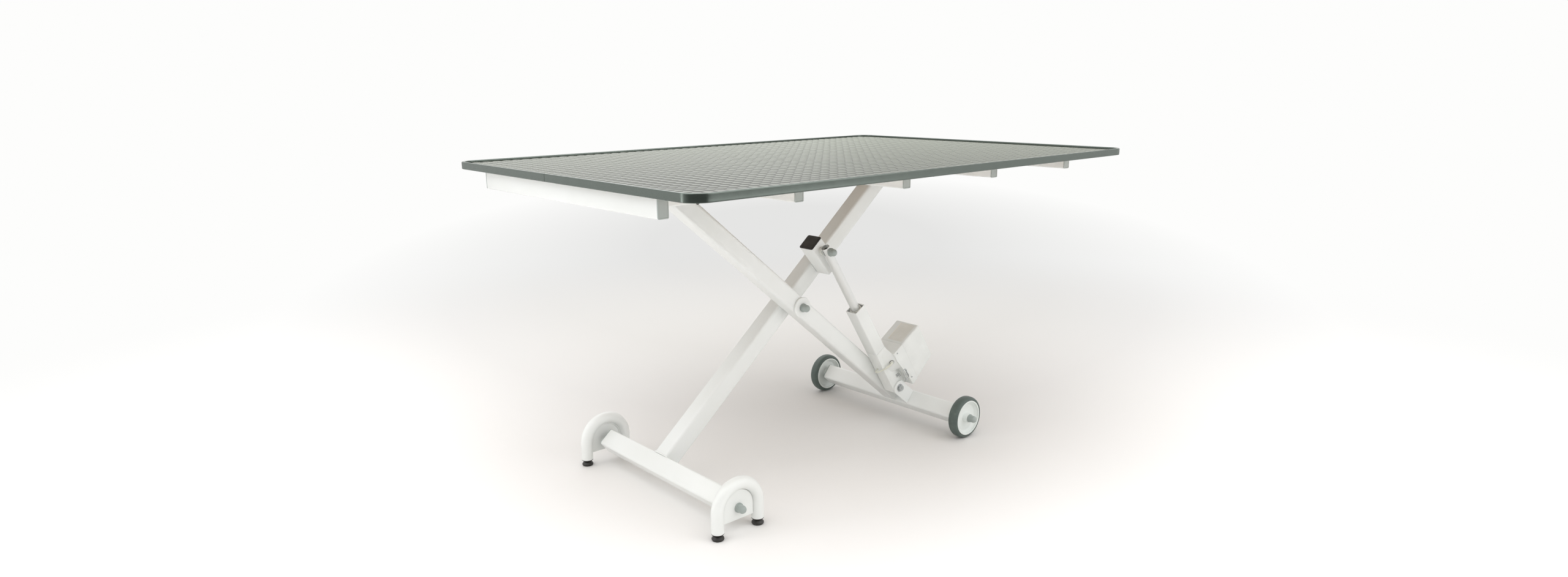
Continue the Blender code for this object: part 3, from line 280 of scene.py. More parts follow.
# %% World and lamps
AMBIENT = 0.53
LAMPS = (
    ("top_light", (-0.5, -0.2, 3.2), (-0.1, 0, 0.4), (7.4, 5.4), 165.0),
    ("left_light", (-3.3, -0.6, 2.1), (0, 0, 0.5), (2.4, 2.0), 10.0),
    ("front_light", (1.4, -3.4, 1.5), (0.2, 0, 0.4), (2.6, 1.6), 24.0),
    ("back_light", (1.6, 3.0, 2.2), (0, 0, 0.5), (2.4, 1.6), 12.0),
    ("strip_light", (-3.0, 0.9, 0.9), (-0.7, -0.4, 0.8), (0.5, 1.7), 8.0),
)

world = bpy.data.worlds.new("studio")
bpy.context.scene.world = world
world.use_nodes = True
sky = world.node_tree
ambient = sky.nodes["Background"]
ambient.inputs["Color"].default_value = paint(252, 251, 249)
ambient.inputs["Strength"].default_value = AMBIENT
direction = node(sky, "TexCoord").outputs["Generated"]
strength = rescale(sky, dark_end(sky, direction), 0.0, 1.0, 1.0, 0.0)
backdrop = node(sky, "Background", {"Color": paint(253, 253, 252), "Strength": strength})
inputs = {"Fac": seen_by_camera(sky), 1: ambient.outputs[0], 2: backdrop.outputs[0]}
blend = node(sky, "MixShader", inputs)
sky.links.new(blend.outputs[0], sky.nodes["World Output"].inputs["Surface"])

for name, place, aim, (width, height), power in LAMPS:
    light = bpy.data.lights.new(name, "AREA")
    light.shape = "RECTANGLE"
    light.size = width
    light.size_y = height
    light.energy = power
    lamp = bpy.data.objects.new(name, light)
    lamp.location = place
    lamp.rotation_euler = (Vector(aim) - Vector(place)).to_track_quat("-Z", "Y").to_euler()
    bpy.context.scene.collection.objects.link(lamp)

bpy.context.scene.view_settings.view_transform = "Standard"
print("lamps:", len(LAMPS), "ambient", AMBIENT)

# %% [markdown]
# ## Finishes
#
# A real surface is never one colour. Each finish starts from the shader's plain settings and adds three
# things at their true size: slow drifts of tone, a change in roughness where hands and cloths have been,
# and a fine relief as bump. All of them read the object's own coordinates, so they stay put on a piece
# as it moves.

# %% Common ground of all finishes


def surface(name, colour, roughness, metallic=0.0, specular=0.5):
    """A new finish with its shader and the coordinates that ride with the piece."""
    material = bpy.data.materials.new(name)
    material.use_nodes = True
    tree = material.node_tree
    shader = tree.nodes["Principled BSDF"]
    shader.inputs["Base Color"].default_value = colour
    shader.inputs["Roughness"].default_value = roughness
    shader.inputs["Metallic"].default_value = metallic
    shader.inputs["Specular IOR Level"].default_value = specular
    material.diffuse_color = colour
    place = node(tree, "TexCoord").outputs["Object"]
    return material, tree, shader, place


def cloud(tree, place, size, detail=3.0, roughness=0.5):
    """Soft noise whose blotches are about as wide as size, in metres."""
    inputs = {"Vector": place, "Scale": 1.0 / size, "Detail": detail, "Roughness": roughness}
    return node(tree, "TexNoise", inputs).outputs["Fac"]


def put_colour(tree, shader, factor, stops):
    """Drive the base colour through a ramp."""
    tree.links.new(ramp(tree, factor, stops), shader.inputs["Base Color"])


def put_roughness(tree, shader, factor, low, high):
    """Drive the roughness between two values."""
    tree.links.new(rescale(tree, factor, 0.3, 0.7, low, high), shader.inputs["Roughness"])


def put_relief(tree, shader, layers):
    """Stack (height, depth in metres) layers of bump."""
    normal = None
    for height, depth in layers:
        inputs = {"Height": height, "Distance": depth, "Strength": 1.0}
        if normal is not None:
            inputs["Normal"] = normal
        normal = node(tree, "Bump", inputs).outputs["Normal"]
    tree.links.new(normal, shader.inputs["Normal"])


print("finish helpers ready")

# %% [markdown]
# ### White stoved enamel
#
# The frame is powder coated: a warm white skin that has melted flat, but keeps a slight orange peel. We
# give it two drifts of tone, a fine peel as bump and a thin clear coat, because the coat gives the long
# soft streaks of light that the photo shows along the tubes.

# %% Enamel
ENAMEL_DRIFT = 0.16
ENAMEL_PEEL = 0.003


def enamel_finish():
    material, tree, shader, place = surface("white_enamel", paint(238, 238, 234), 0.32)
    drift = cloud(tree, place, ENAMEL_DRIFT)
    tones = [(0.25, paint(234, 236, 233)), (0.55, paint(238, 240, 238)), (0.8, paint(241, 243, 242))]
    put_colour(tree, shader, drift, tones)
    put_roughness(tree, shader, cloud(tree, place, ENAMEL_DRIFT / 4), 0.3, 0.38)
    peel = cloud(tree, place, ENAMEL_PEEL, 2.0)
    waves = cloud(tree, place, ENAMEL_PEEL * 5, 1.0)
    put_relief(tree, shader, [(waves, 0.00002), (peel, 0.000006)])
    shader.inputs["Coat Weight"].default_value = 0.25
    shader.inputs["Coat Roughness"].default_value = 0.12
    return material


enamel = enamel_finish()
print("enamel:", len(enamel.node_tree.nodes), "nodes")

# %% [markdown]
# ### Rubber of the mat
#
# The mat is grey rubber. Its colour carries painted light: the stud tops are paler and their steep sides
# darker, as painted shade of the crescents that the light leaves there. Height tells these apart: the
# studs stand just over a millimetre proud, so the object's own Z picks the tone. The mat is painted paler
# toward its far corner, a painted sheen of light glancing off it, so two such ramps are mixed across it.
# Fine grit in the bump keeps the low view from turning into a mirror.

# %% Mat rubber
STUD_HEIGHT = 0.0012
SHEEN_REACH = 0.7
mat_low, mat_high = span("mat")
sheet_top = mat_high.z - STUD_HEIGHT


def mat_finish():
    material, tree, shader, place = surface("mat_rubber", paint(140, 141, 134), 0.5)
    height = node(tree, "SeparateXYZ", {0: place}).outputs["Z"]
    lift = rescale(tree, height, sheet_top, mat_high.z, 0.0, 1.0)
    drift = cloud(tree, place, 0.11, 4.0)
    wear = cloud(tree, place, 0.004, 3.0)
    mixed = node(tree, "Math", {0: drift, 1: wear}, operation="ADD").outputs[0]
    share = rescale(tree, mixed, 0.6, 1.4, -0.04, 0.04)
    factor = node(tree, "Math", {0: lift, 1: share}, operation="ADD").outputs[0]
    # Painted shade: a dark band on the studs' steep sides, with paler tops.
    near = [(0.0, paint(60, 62, 54)), (0.06, paint(20, 21, 18)), (0.4, paint(26, 27, 22)),
            (0.52, paint(80, 84, 72)), (1.0, paint(88, 92, 80))]
    far = [(0.0, paint(118, 122, 110)), (0.06, paint(88, 92, 82)), (0.34, paint(98, 102, 92)),
           (0.48, paint(138, 143, 130)), (1.0, paint(146, 151, 138))]
    # Painted sheen: toward the far corner the paler ramp takes over.
    across_mat = node(tree, "VectorMath", {0: place, 1: AWAY}, operation="DOT_PRODUCT")
    far_sheen = rescale(tree, across_mat.outputs["Value"], -SHEEN_REACH, SHEEN_REACH, 0.0, 1.0)
    inputs = {0: far_sheen, 6: ramp(tree, factor, near), 7: ramp(tree, factor, far)}
    tree.links.new(node(tree, "Mix", inputs, data_type="RGBA").outputs[2], shader.inputs["Base Color"])
    put_roughness(tree, shader, mixed, 0.32, 0.44)
    shader.inputs["Specular IOR Level"].default_value = 1.0
    grit = cloud(tree, place, 0.0009, 2.0)
    pull = cloud(tree, place, 0.012, 2.0)
    put_relief(tree, shader, [(pull, 0.00012), (grit, 0.00003)])
    return material


mat_rubber = mat_finish()
print("mat rubber: sheet at", round(sheet_top, 5), "m, studs to", round(mat_high.z, 5), "m")

# %% [markdown]
# ### Edge strip, caps and pads
#
# Moulded and extruded plastics share one recipe: a tone that hardly drifts, a grain in the bump from the
# tool that shaped them, and a roughness that tells semi-matt caps from glossier pads. One function with
# the grain's size as a setting serves them all.

# %% Plastics


def plastic_finish(name, dark, light, roughness, grain, depth, drift=0.05):
    """A moulded plastic between two tones with a fine grain."""
    material, tree, shader, place = surface(name, paint(*light), roughness)
    slow = cloud(tree, place, drift, 3.0)
    put_colour(tree, shader, slow, [(0.3, paint(*dark)), (0.7, paint(*light))])
    put_roughness(tree, shader, cloud(tree, place, drift / 3), roughness - 0.05, roughness + 0.07)
    swell, fine = cloud(tree, place, grain * 8, 1.0), cloud(tree, place, grain)
    put_relief(tree, shader, [(swell, depth * 2), (fine, depth)])
    return material


strip_plastic = plastic_finish("strip_plastic", (46, 52, 48), (54, 60, 56), 0.2, 0.0006, 0.000004)
strip_shader = strip_plastic.node_tree.nodes["Principled BSDF"]
strip_shader.inputs["IOR"].default_value = 1.7
strip_shader.inputs["Specular IOR Level"].default_value = 1.0
strip_shader.inputs["Specular Tint"].default_value = paint(222, 236, 226)
cap_plastic = plastic_finish("cap_plastic", (168, 176, 173), (180, 187, 184), 0.45, 0.0005, 0.00002)
dome_plastic = plastic_finish("dome_plastic", (152, 161, 158), (168, 176, 172), 0.36, 0.0005, 0.00002)
black_plastic = plastic_finish("black_plastic", (34, 32, 29), (46, 44, 40), 0.42, 0.0007, 0.00003)
wheel_plastic = plastic_finish("wheel_plastic", (224, 229, 226), (232, 236, 233), 0.36, 0.0008, 0.00002)
socket_painted_shade = plastic_finish("socket_painted_shade", (92, 92, 88), (104, 104, 99), 0.5, 0.0005, 0.00002)
motor_plastic = plastic_finish("motor_plastic", (229, 231, 228), (236, 238, 235), 0.46, 0.0007, 0.00005)
nylon = plastic_finish("nylon", (214, 215, 207), (224, 225, 219), 0.44, 0.0006, 0.00002)
lead_sheath = plastic_finish("lead_sheath", (222, 222, 208), (232, 232, 220), 0.5, 0.0006, 0.00003)
print("plastics: 9")

# %% [markdown]
# ### Tyres
#
# The tyres are soft grey rubber, rolled on a clinic floor: fine dust greys the tread, while the walls
# keep a dull sheen. The distance from the axle would tell them apart, but the tyre turns, so we let
# noise do it and leave the shape to the mesh.

# %% Tyre rubber


def tyre_finish():
    material, tree, shader, place = surface("tyre_rubber", paint(76, 86, 83), 0.55)
    dust = cloud(tree, place, 0.02, 5.0, 0.6)
    tones = [(0.3, paint(76, 88, 83)), (0.6, paint(87, 99, 94)), (0.8, paint(104, 113, 107))]
    put_colour(tree, shader, dust, tones)
    put_roughness(tree, shader, dust, 0.42, 0.62)
    put_relief(tree, shader, [(cloud(tree, place, 0.001, 3.0), 0.00005)])
    return material


tyre_rubber = tyre_finish()
print("tyre rubber:", len(tyre_rubber.node_tree.nodes), "nodes")

# %% [markdown]
# ### Zinc and drawn aluminium
#
# Bolts and shafts are zinc plated: metal with a cloudy bloom. The rod of the drive is drawn and
# anodised, so its marks are long hairs along its length. Stretching noise in a turned frame makes them:
# the Mapping node turns the coordinates along the drive and squeezes the hairs thin.

# %% Metals


def zinc_finish():
    material, tree, shader, place = surface("zinc", paint(190, 193, 194), 0.34, 1.0)
    bloom = cloud(tree, place, 0.006, 4.0, 0.6)
    put_colour(tree, shader, bloom, [(0.3, paint(168, 171, 172)), (0.7, paint(206, 209, 209))])
    put_roughness(tree, shader, bloom, 0.29, 0.44)
    put_relief(tree, shader, [(cloud(tree, place, 0.0012, 3.0), 0.00003)])
    return material


def rod_finish():
    material, tree, shader, place = surface("drawn_rod", paint(226, 227, 225), 0.3, 0.45)
    lean = math.atan2(-drive_line.col[0].z, drive_line.col[0].x)
    inputs = {"Vector": place, "Rotation": (0, lean, 0), "Scale": (0.12, 0.0012, 0.0012)}
    hairs = node(tree, "Mapping", inputs, vector_type="TEXTURE").outputs["Vector"]
    streak = node(tree, "TexNoise", {"Vector": hairs, "Scale": 1.0, "Detail": 3.0}).outputs["Fac"]
    put_colour(tree, shader, streak, [(0.3, paint(222, 224, 222)), (0.7, paint(230, 231, 229))])
    put_roughness(tree, shader, streak, 0.3, 0.36)
    put_relief(tree, shader, [(streak, 0.000001)])
    return material


zinc = zinc_finish()
drawn_rod = rod_finish()
print("metals: 2")

# %% [markdown]
# ### Board
#
# Only the underside of the board shows, and only from below: a plain faced sheet. Long soft fibres and a
# few darker flecks are enough.

# %% Laminate


def board_finish():
    material, tree, shader, place = surface("board_facing", paint(186, 180, 170), 0.5)
    fibres = node(tree, "Mapping", {"Vector": place, "Scale": (12.0, 160.0, 60.0)}).outputs["Vector"]
    grain = node(tree, "TexNoise", {"Vector": fibres, "Scale": 1.0, "Detail": 5.0}).outputs["Fac"]
    put_colour(tree, shader, grain, [(0.3, paint(176, 160, 144)), (0.7, paint(197, 184, 170))])
    put_roughness(tree, shader, cloud(tree, place, 0.03), 0.42, 0.58)
    put_relief(tree, shader, [(grain, 0.00004)])
    return material


board_facing = board_finish()
print("board facing:", len(board_facing.node_tree.nodes), "nodes")

# %% [markdown]
# ## Shapes
#
# Nearly every piece here is one of three shapes: an outline pushed along a line, a profile turned about
# an axis, or a tube that follows a path. What makes them look made, and not drawn, is that no corner is
# truly sharp. So corners are written as (a, b, radius), and `eased` turns each one into a small arc.

# %% Outlines with eased corners
EASE_STEPS = 4


def eased(corners, closed=True, steps=EASE_STEPS):
    """Points of an outline whose corners, given as (a, b, radius), are rounded."""
    points = []
    count = len(corners)
    for index, (a, b, radius) in enumerate(corners):
        here = Vector((a, b))
        if radius == 0 or (not closed and index in (0, count - 1)):
            points.append((a, b))
            continue
        back = Vector(corners[index - 1][:2]) - here
        ahead = Vector(corners[(index + 1) % count][:2]) - here
        half = back.angle(ahead) / 2
        trim = min(radius / math.tan(half), back.length * 0.49, ahead.length * 0.49)
        middle = here + (back.normalized() + ahead.normalized()).normalized() * trim / math.cos(half)
        start = here + back.normalized() * trim - middle
        end = here + ahead.normalized() * trim - middle
        sweep = start.angle_signed(end)
        first = math.atan2(start.y, start.x)
        for step in range(steps + 1):
            angle = first - sweep * step / steps
            points.append((middle.x + start.length * math.cos(angle),
                           middle.y + start.length * math.sin(angle)))
    return points


def box_outline(low_a, high_a, low_b, high_b, radius, steps=EASE_STEPS):
    """A rounded rectangle between two corners."""
    corners = [(low_a, low_b, radius), (high_a, low_b, radius), (high_a, high_b, radius),
               (low_a, high_b, radius)]
    return eased(corners, steps=steps)


def round_outline(radius, sides, middle=(0, 0)):
    """A circle about a point."""
    turns = [2 * math.pi * side / sides for side in range(sides)]
    return [(middle[0] + radius * math.cos(t), middle[1] + radius * math.sin(t)) for t in turns]


print("a rounded square has", len(box_outline(-1, 1, -1, 1, 0.2)), "points")

# %% [markdown]
# All three shapes come down to the same act: lay rings of points one after another and stretch a skin
# between them. A pushed outline, a turned profile and a swept tube differ only in where the rings go.

# %% Skins between rings


def skin(bm, rings, loop=False, caps=True):
    """Join rings of points with faces; a loop also joins the last ring to the first."""
    made = [[bm.verts.new(point) for point in ring] for ring in rings]
    pairs = list(zip(made, made[1:])) + ([(made[-1], made[0])] if loop else [])
    count = len(made[0])
    for one, two in pairs:
        for side in range(count):
            after = (side + 1) % count
            bm.faces.new((one[side], one[after], two[after], two[side]))
    if caps and not loop:
        bm.faces.new(made[0])
        bm.faces.new(made[-1])
    return made


def turned(bm, profile, sides=48, loop=False):
    """Turn (radius, height) points about Z; a point with radius 0 closes that end to a tip."""
    rings = []
    tips = {}
    for index, (radius, height) in enumerate(profile):
        if radius == 0:
            tips[index] = height
        else:
            rings.append([(x, y, height) for x, y in round_outline(radius, sides)])
    made = skin(bm, rings, loop, caps=False)
    for index, height in tips.items():
        ring = made[0] if index == 0 else made[-1]
        tip = bm.verts.new((0, 0, height))
        for side in range(sides):
            bm.faces.new((ring[side], ring[(side + 1) % sides], tip))


def swept(bm, path, radius, sides=16, closed=False, up=Vector((0, 1, 0))):
    """A round tube along points; the ring is kept level with up, which must not lie along the path."""
    rings = []
    count = len(path)
    for index in range(count):
        before = Vector(path[index - 1] if index or closed else path[0])
        after = Vector(path[(index + 1) % count] if index + 1 < count or closed else path[-1])
        along = (after - before).normalized()
        right = along.cross(up).normalized()
        top = right.cross(along)
        size = radius(index / max(count - 1, 1)) if callable(radius) else radius
        centre_point = Vector(path[index])
        rings.append([centre_point + right * a + top * b for a, b in round_outline(size, sides)])
    skin(bm, rings, loop=closed)


drum = bmesh.new()
turned(drum, [(0, 0), (1, 0), (1, 2), (0, 2)])
print("a turned drum has", len(drum.faces), "faces")
drum.free()

# %% [markdown]
# A shape becomes a piece of the table once it lies in its frame, has its finish, rides on the body that
# moves it and stands for its CAD nodes. One function does all of it, so that no piece is left behind.

# %% From a shape to a piece that rides
SHARP = math.radians(38)


def piece(name, bm, finish, body, nodes=(), place=upright, sharp=SHARP):
    """Lay a shape in its frame, give it its finish and body, and let it stand for CAD nodes."""
    bmesh.ops.recalc_face_normals(bm, faces=bm.faces)
    mesh = bpy.data.meshes.new(name)
    bm.to_mesh(mesh)
    bm.free()
    mesh.transform(place)
    mesh.materials.append(finish)
    mesh.shade_smooth()
    mesh.set_sharp_from_angle(angle=sharp)
    item = bpy.data.objects.new(name, mesh)
    bpy.context.scene.collection.objects.link(item)
    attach(item, body)
    if nodes:
        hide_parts(*nodes)
    print(f"{name}: {len(mesh.polygons)} faces on {body}")
    return item


def shape(build, *values, **settings):
    """Run one of the shape functions on a fresh mesh."""
    bm = bmesh.new()
    build(bm, *values, **settings)
    return bm


print("edges sharper than", round(math.degrees(SHARP)), "degrees stay crisp")

# %% [markdown]
# ## Tabletop
#
# ### The studded mat
#
# The mat is one rubber sheet with rows of low round studs in a square grid. Seen low across the table
# they read like fish scales: a pale top and a dark crescent on the side that faces us. That comes partly
# from true shape, so we model every stud, and partly from painted shade in the rubber's colour. Each grid
# cell is one small patch: a square rim, and inside it the rings of the stud. Neighbour cells share their
# rim points, so the whole sheet is one skin without a seam. NumPy lays out the points, because a couple of
# thousand cells are slow to place one by one.

# %% Stud patch
STUD_PITCH = 0.0272
STUD_SIDES = 20
STUD_RINGS = ((0.0112, 0.0), (0.0109, 0.44), (0.0098, 0.74), (0.0062, 0.95))
columns = int((mat_high.x - mat_low.x) / STUD_PITCH) - 1
rows = int((mat_high.y - mat_low.y) / STUD_PITCH)
steps_per_side = STUD_SIDES // 4


def stud_rings(middle):
    """The rings and the tip of one stud, from its foot upwards."""
    first = -math.pi * 3 / 4
    rings = []
    for radius, share in STUD_RINGS:
        turns = [first + 2 * math.pi * side / STUD_SIDES for side in range(STUD_SIDES)]
        height = sheet_top + share * STUD_HEIGHT
        rings.append([(middle[0] + radius * math.cos(t), middle[1] + radius * math.sin(t), height)
                      for t in turns])
    return rings, (middle[0], middle[1], mat_high.z)


def rim_keys(column, row):
    """The cell's rim as whole-number grid keys, in the order of the stud's rings."""
    a, b, n = column * steps_per_side, row * steps_per_side, steps_per_side
    south = [(a + i, b) for i in range(n)]
    east = [(a + n, b + i) for i in range(n)]
    north = [(a + n - i, b + n) for i in range(n)]
    west = [(a, b + n - i) for i in range(n)]
    return south + east + north + west


print("studs:", columns, "x", rows, "of", STUD_SIDES, "sides")

# %% Outline of the tabletop
MAT_EDGE_ARC = 14
mat_middle = (mat_low + mat_high) / 2
grid_low = Vector((mat_middle.x - columns * STUD_PITCH / 2, mat_middle.y - rows * STUD_PITCH / 2))
strip_low, strip_high = span("edge_strip")
TABLE_CORNER = 0.043


def table_outline(inset, steps):
    """The tabletop's outline, drawn in by an inset, at the places of the strip's own box."""
    low, high = strip_low, strip_high
    radius = TABLE_CORNER - inset
    return box_outline(low.x + inset, high.x - inset, low.y + inset, high.y - inset, radius, steps)


print("tabletop outline:", len(table_outline(0, MAT_EDGE_ARC)), "points")

# %% Mat skin


def mat_skin(bm):
    """Cells with studs, the four corner studs, the border round them, the edge and the underside."""
    points, faces, at_key = [], [], {}
    finer = STUD_PITCH / steps_per_side

    def rim_index(key):
        if key not in at_key:
            at_key[key] = len(points)
            points.append((grid_low.x + key[0] * finer, grid_low.y + key[1] * finer, sheet_top))
        return at_key[key]

    def add_stud(middle):
        rings, tip = stud_rings(middle)
        indices = []
        for ring in rings:
            indices.append(list(range(len(points), len(points) + STUD_SIDES)))
            points.extend(ring)
        for inner, outer in zip(indices[1:], indices):
            for i in range(STUD_SIDES):
                j = (i + 1) % STUD_SIDES
                faces.append((outer[i], outer[j], inner[j], inner[i]))
        tip_index = len(points)
        points.append(tip)
        faces.extend((indices[-1][i], indices[-1][(i + 1) % STUD_SIDES], tip_index)
                     for i in range(STUD_SIDES))
        return indices[0]

    for column in range(columns):
        for row in range(rows):
            middle = (grid_low.x + (column + 0.5) * STUD_PITCH, grid_low.y + (row + 0.5) * STUD_PITCH)
            foot = add_stud(middle)
            if column in (0, columns - 1) and row in (0, rows - 1):
                continue
            rim = [rim_index(key) for key in rim_keys(column, row)]
            for i in range(STUD_SIDES):
                j = (i + 1) % STUD_SIDES
                faces.append((rim[i], rim[j], foot[j], foot[i]))
    mesh = bpy.data.meshes.new("mat_cells")
    mesh.from_pydata(points, [], faces)
    bm.from_mesh(mesh)
    bpy.data.meshes.remove(mesh)
    open_edges = [edge for edge in bm.edges if edge.is_boundary]
    inset = mat_low.x - strip_low.x
    outline = table_outline(inset, MAT_EDGE_ARC)
    top_ring, low_ring = skin(bm, [[(x, y, z) for x, y in outline] for z in (sheet_top, mat_low.z)],
                              caps=False)
    top_edges = [bm.edges.get((one, two)) for one, two in zip(top_ring, top_ring[1:] + top_ring[:1])]
    bmesh.ops.triangle_fill(bm, edges=open_edges + top_edges, use_beauty=True)
    bm.faces.new(low_ring)


piece("studded_mat", shape(mat_skin), mat_rubber, "tabletop", ["mat"], sharp=math.radians(60))

# %% [markdown]
# ### Board
#
# Under the mat lies a faced board. Only its underside and a sliver of edge show, so a slab with eased
# edges does it.

# %% Board
BOARD_EASE = 0.0006
board_low, board_high = span("board")


def board_slab(bm):
    inset = board_low.x - strip_low.x
    levels = [(BOARD_EASE, board_low.z), (0, board_low.z + BOARD_EASE), (0, board_high.z - BOARD_EASE),
              (BOARD_EASE, board_high.z)]
    skin(bm, [[(x, y, z) for x, y in table_outline(inset + ease, 12)] for ease, z in levels])


piece("faced_board", shape(board_slab), board_facing, "tabletop", ["board"])

# %% [markdown]
# ### Ribbed edge strip
#
# A slate-grey extrusion is bent round the board: a lip over the mat, a wall with fine upright ribs, and a
# short leg underneath. It is one length, so its ends meet in a butt seam on the short side. We draw its
# section once, walk round the outline in steps of half a rib, and press every second station in a
# little. The corners are walked in the same small steps, which keeps the ribs even all the way round.

# %% Strip stations
RIB_PITCH = 0.0046
RIB_DEPTH = 0.0005
SEAM_PLACE = 0.038
SEAM_GAP = 0.0014


def strip_stations():
    """(point, outward) stations round the tabletop, from one side of the seam to the other."""
    low, high, radius = strip_low, strip_high, TABLE_CORNER
    left, right = low.x + radius, high.x - radius
    front, back = low.y + radius, high.y - radius
    runs = [
        ("line", (low.x, SEAM_PLACE - SEAM_GAP / 2), (low.x, front), (-1, 0)),
        ("arc", (left, front), math.pi),
        ("line", (left, low.y), (right, low.y), (0, -1)),
        ("arc", (right, front), math.pi * 3 / 2),
        ("line", (high.x, front), (high.x, back), (1, 0)),
        ("arc", (right, back), 0.0),
        ("line", (right, high.y), (left, high.y), (0, 1)),
        ("arc", (left, back), math.pi / 2),
        ("line", (low.x, back), (low.x, SEAM_PLACE + SEAM_GAP / 2), (-1, 0)),
    ]
    stations = []
    for kind, *values in runs:
        if kind == "line":
            start, end, out = Vector(values[0]), Vector(values[1]), Vector(values[2])
            count = max(2, 2 * round((end - start).length / RIB_PITCH))
            stations += [(start.lerp(end, i / count), out) for i in range(count)]
        else:
            middle, first = Vector(values[0]), values[1]
            count = 2 * round(radius * math.pi / 2 / RIB_PITCH)
            for i in range(count):
                angle = first + math.pi / 2 * i / count
                out = Vector((math.cos(angle), math.sin(angle)))
                stations.append((middle + out * radius, out))
    stations.append((Vector(runs[-1][2]), Vector((-1, 0))))
    return stations


stations = strip_stations()
print("strip stations:", len(stations))

# %% Strip section and skin
LIP_REACH = 0.0075
WALL = 0.003
LEG_REACH = 0.010
LEG_THICKNESS = 0.0016
LIP_UNDER_MAT = 0.0007
RIBS_ABOVE_FOOT, RIBS_UNDER_LIP = 0.0014, 0.0012
WALL_ABOVE_FOOT, WALL_UNDER_LIP = 0.0030, 0.0024


def strip_section():
    """(inward, height, ribbed) points of the section, from the foot of the wall round to the leg."""
    low, high = strip_low.z, strip_high.z
    lip_under = mat_high.z - LIP_UNDER_MAT
    corners = [
        (0, low, 0.0012), (0, high, 0.0022), (LIP_REACH, high, 0.0017), (LIP_REACH, lip_under, 0.0003),
        (WALL, lip_under, 0), (WALL, low + LEG_THICKNESS, 0), (LEG_REACH, low + LEG_THICKNESS, 0.0005),
        (LEG_REACH, low, 0.0005),
    ]
    points = eased(corners, steps=4)
    rib_low, rib_high = low + RIBS_ABOVE_FOOT, high - RIBS_UNDER_LIP
    return [(a, b, a < 0.0008 and rib_low < b < rib_high) for a, b in points]


def strip_skin(bm):
    section = strip_section()
    low_a, high_a = strip_low.z + WALL_ABOVE_FOOT, strip_high.z - WALL_UNDER_LIP
    wall_points = [(0.0, low_a, True), (0.0, high_a, True)]
    foot = max(i for i, (a, b, _) in enumerate(section) if a < 0.0001 and b < low_a)
    section = section[:foot + 1] + wall_points + section[foot + 1:]
    rings = []
    for index, (point, out) in enumerate(stations):
        press = RIB_DEPTH if index % 2 else 0.0
        ring = []
        for inward, height, ribbed in section:
            here = point - out * (inward + (press if ribbed else 0.0))
            ring.append((here.x, here.y, height))
        rings.append(ring)
    skin(bm, rings)


piece("ribbed_strip", shape(strip_skin), strip_plastic, "tabletop",
      ["edge_strip"], sharp=math.radians(50))

# %% [markdown]
# ### Plugs under the rim
#
# Two small dark rubber plugs hang a few millimetres below the strip, where screws hold the board's edge.
# They are turned cones with a rounded tip.

# %% Plugs
PLUGS = (  # name, place, radius, how far it hangs
    ("rim_plug_corner", (-0.7176, -0.470), 0.0050, 0.0052),
    ("rim_plug_side", (-0.070, -0.482), 0.0026, 0.0030),
)


def plug_shape(bm, radius, hang):
    """A cone that hangs from the board: tip down, foot against the board's underside."""
    top = board_low.z - strip_low.z
    corners = [(0, -hang, 0), (radius * 0.35, -hang, 0.0010), (radius, -hang * 0.15, 0.0012),
               (radius, top, 0.0002), (0, top, 0)]
    turned(bm, eased(corners, closed=False), sides=32)


for name, (x, y), radius, hang in PLUGS:
    piece(name, shape(plug_shape, radius, hang), black_plastic, "tabletop",
          place=Matrix.Translation((x, y, strip_low.z)))

# %% [markdown]
# ### Cross beams
#
# Five flat steel tubes carry the board. The three inner ones are cut away in the middle, so that the
# arms, the shafts and the drive can fold up between them. We push a hollow outline along the width and
# cut it with boxes, as a saw would; the Boolean modifier is the right tool where a cut crosses a hollow.

# %% Cutting


def carve(item, tool_bm, place=upright):
    """Take a tool's shape out of a piece, and keep the result as the piece's mesh."""
    bmesh.ops.recalc_face_normals(tool_bm, faces=tool_bm.faces)
    mesh = bpy.data.meshes.new("tool")
    tool_bm.to_mesh(mesh)
    tool_bm.free()
    mesh.transform(place)
    tool = bpy.data.objects.new("tool", mesh)
    bpy.context.scene.collection.objects.link(tool)
    step = item.modifiers.new("carve", "BOOLEAN")
    step.object = tool
    step.solver = "EXACT"
    bpy.context.view_layer.update()
    graph = bpy.context.evaluated_depsgraph_get()
    whole = bpy.data.meshes.new_from_object(item.evaluated_get(graph), depsgraph=graph)
    item.modifiers.clear()
    item.data = whole
    bpy.data.objects.remove(tool)
    item.data.shade_smooth()
    item.data.set_sharp_from_angle(angle=SHARP)


def box_tool(low, high):
    """A saw's box between two corners."""
    bm = bmesh.new()
    size, middle = Vector(high) - Vector(low), (Vector(high) + Vector(low)) / 2
    bmesh.ops.create_cube(bm, size=1.0, matrix=Matrix.Translation(middle) @ Matrix.Diagonal((*size, 1.0)))
    return bm


def drill(item, middle, direction, radius, length):
    """A round hole through a piece along a direction."""
    bm = shape(turned, [(0, -length / 2), (radius, -length / 2), (radius, length / 2), (0, length / 2)],
               sides=40)
    turn = Vector(direction).to_track_quat("Z", "X").to_matrix().to_4x4()
    carve(item, bm, Matrix.Translation(middle) @ turn)


saw = box_tool((0, 0, 0), (1, 1, 1))
print("a saw's box has", len(saw.faces), "faces")
saw.free()

# %% Beams
BEAM_WALL = 0.002
BEAM_CORNER = 0.0032
SAW_OVERRUN = 0.004
MESH_GAP = 0.0003
rail_low, rail_high = span("rail_near")
rail_out = -rail_low.y
arm_zone = (arm_high.y - arm_low.y) + 0.003
ARM_TIP = 0.008
arm_tip_reach = math.hypot((arm_high.z - arm_low.z) / 2, ARM_TIP) + MESH_GAP


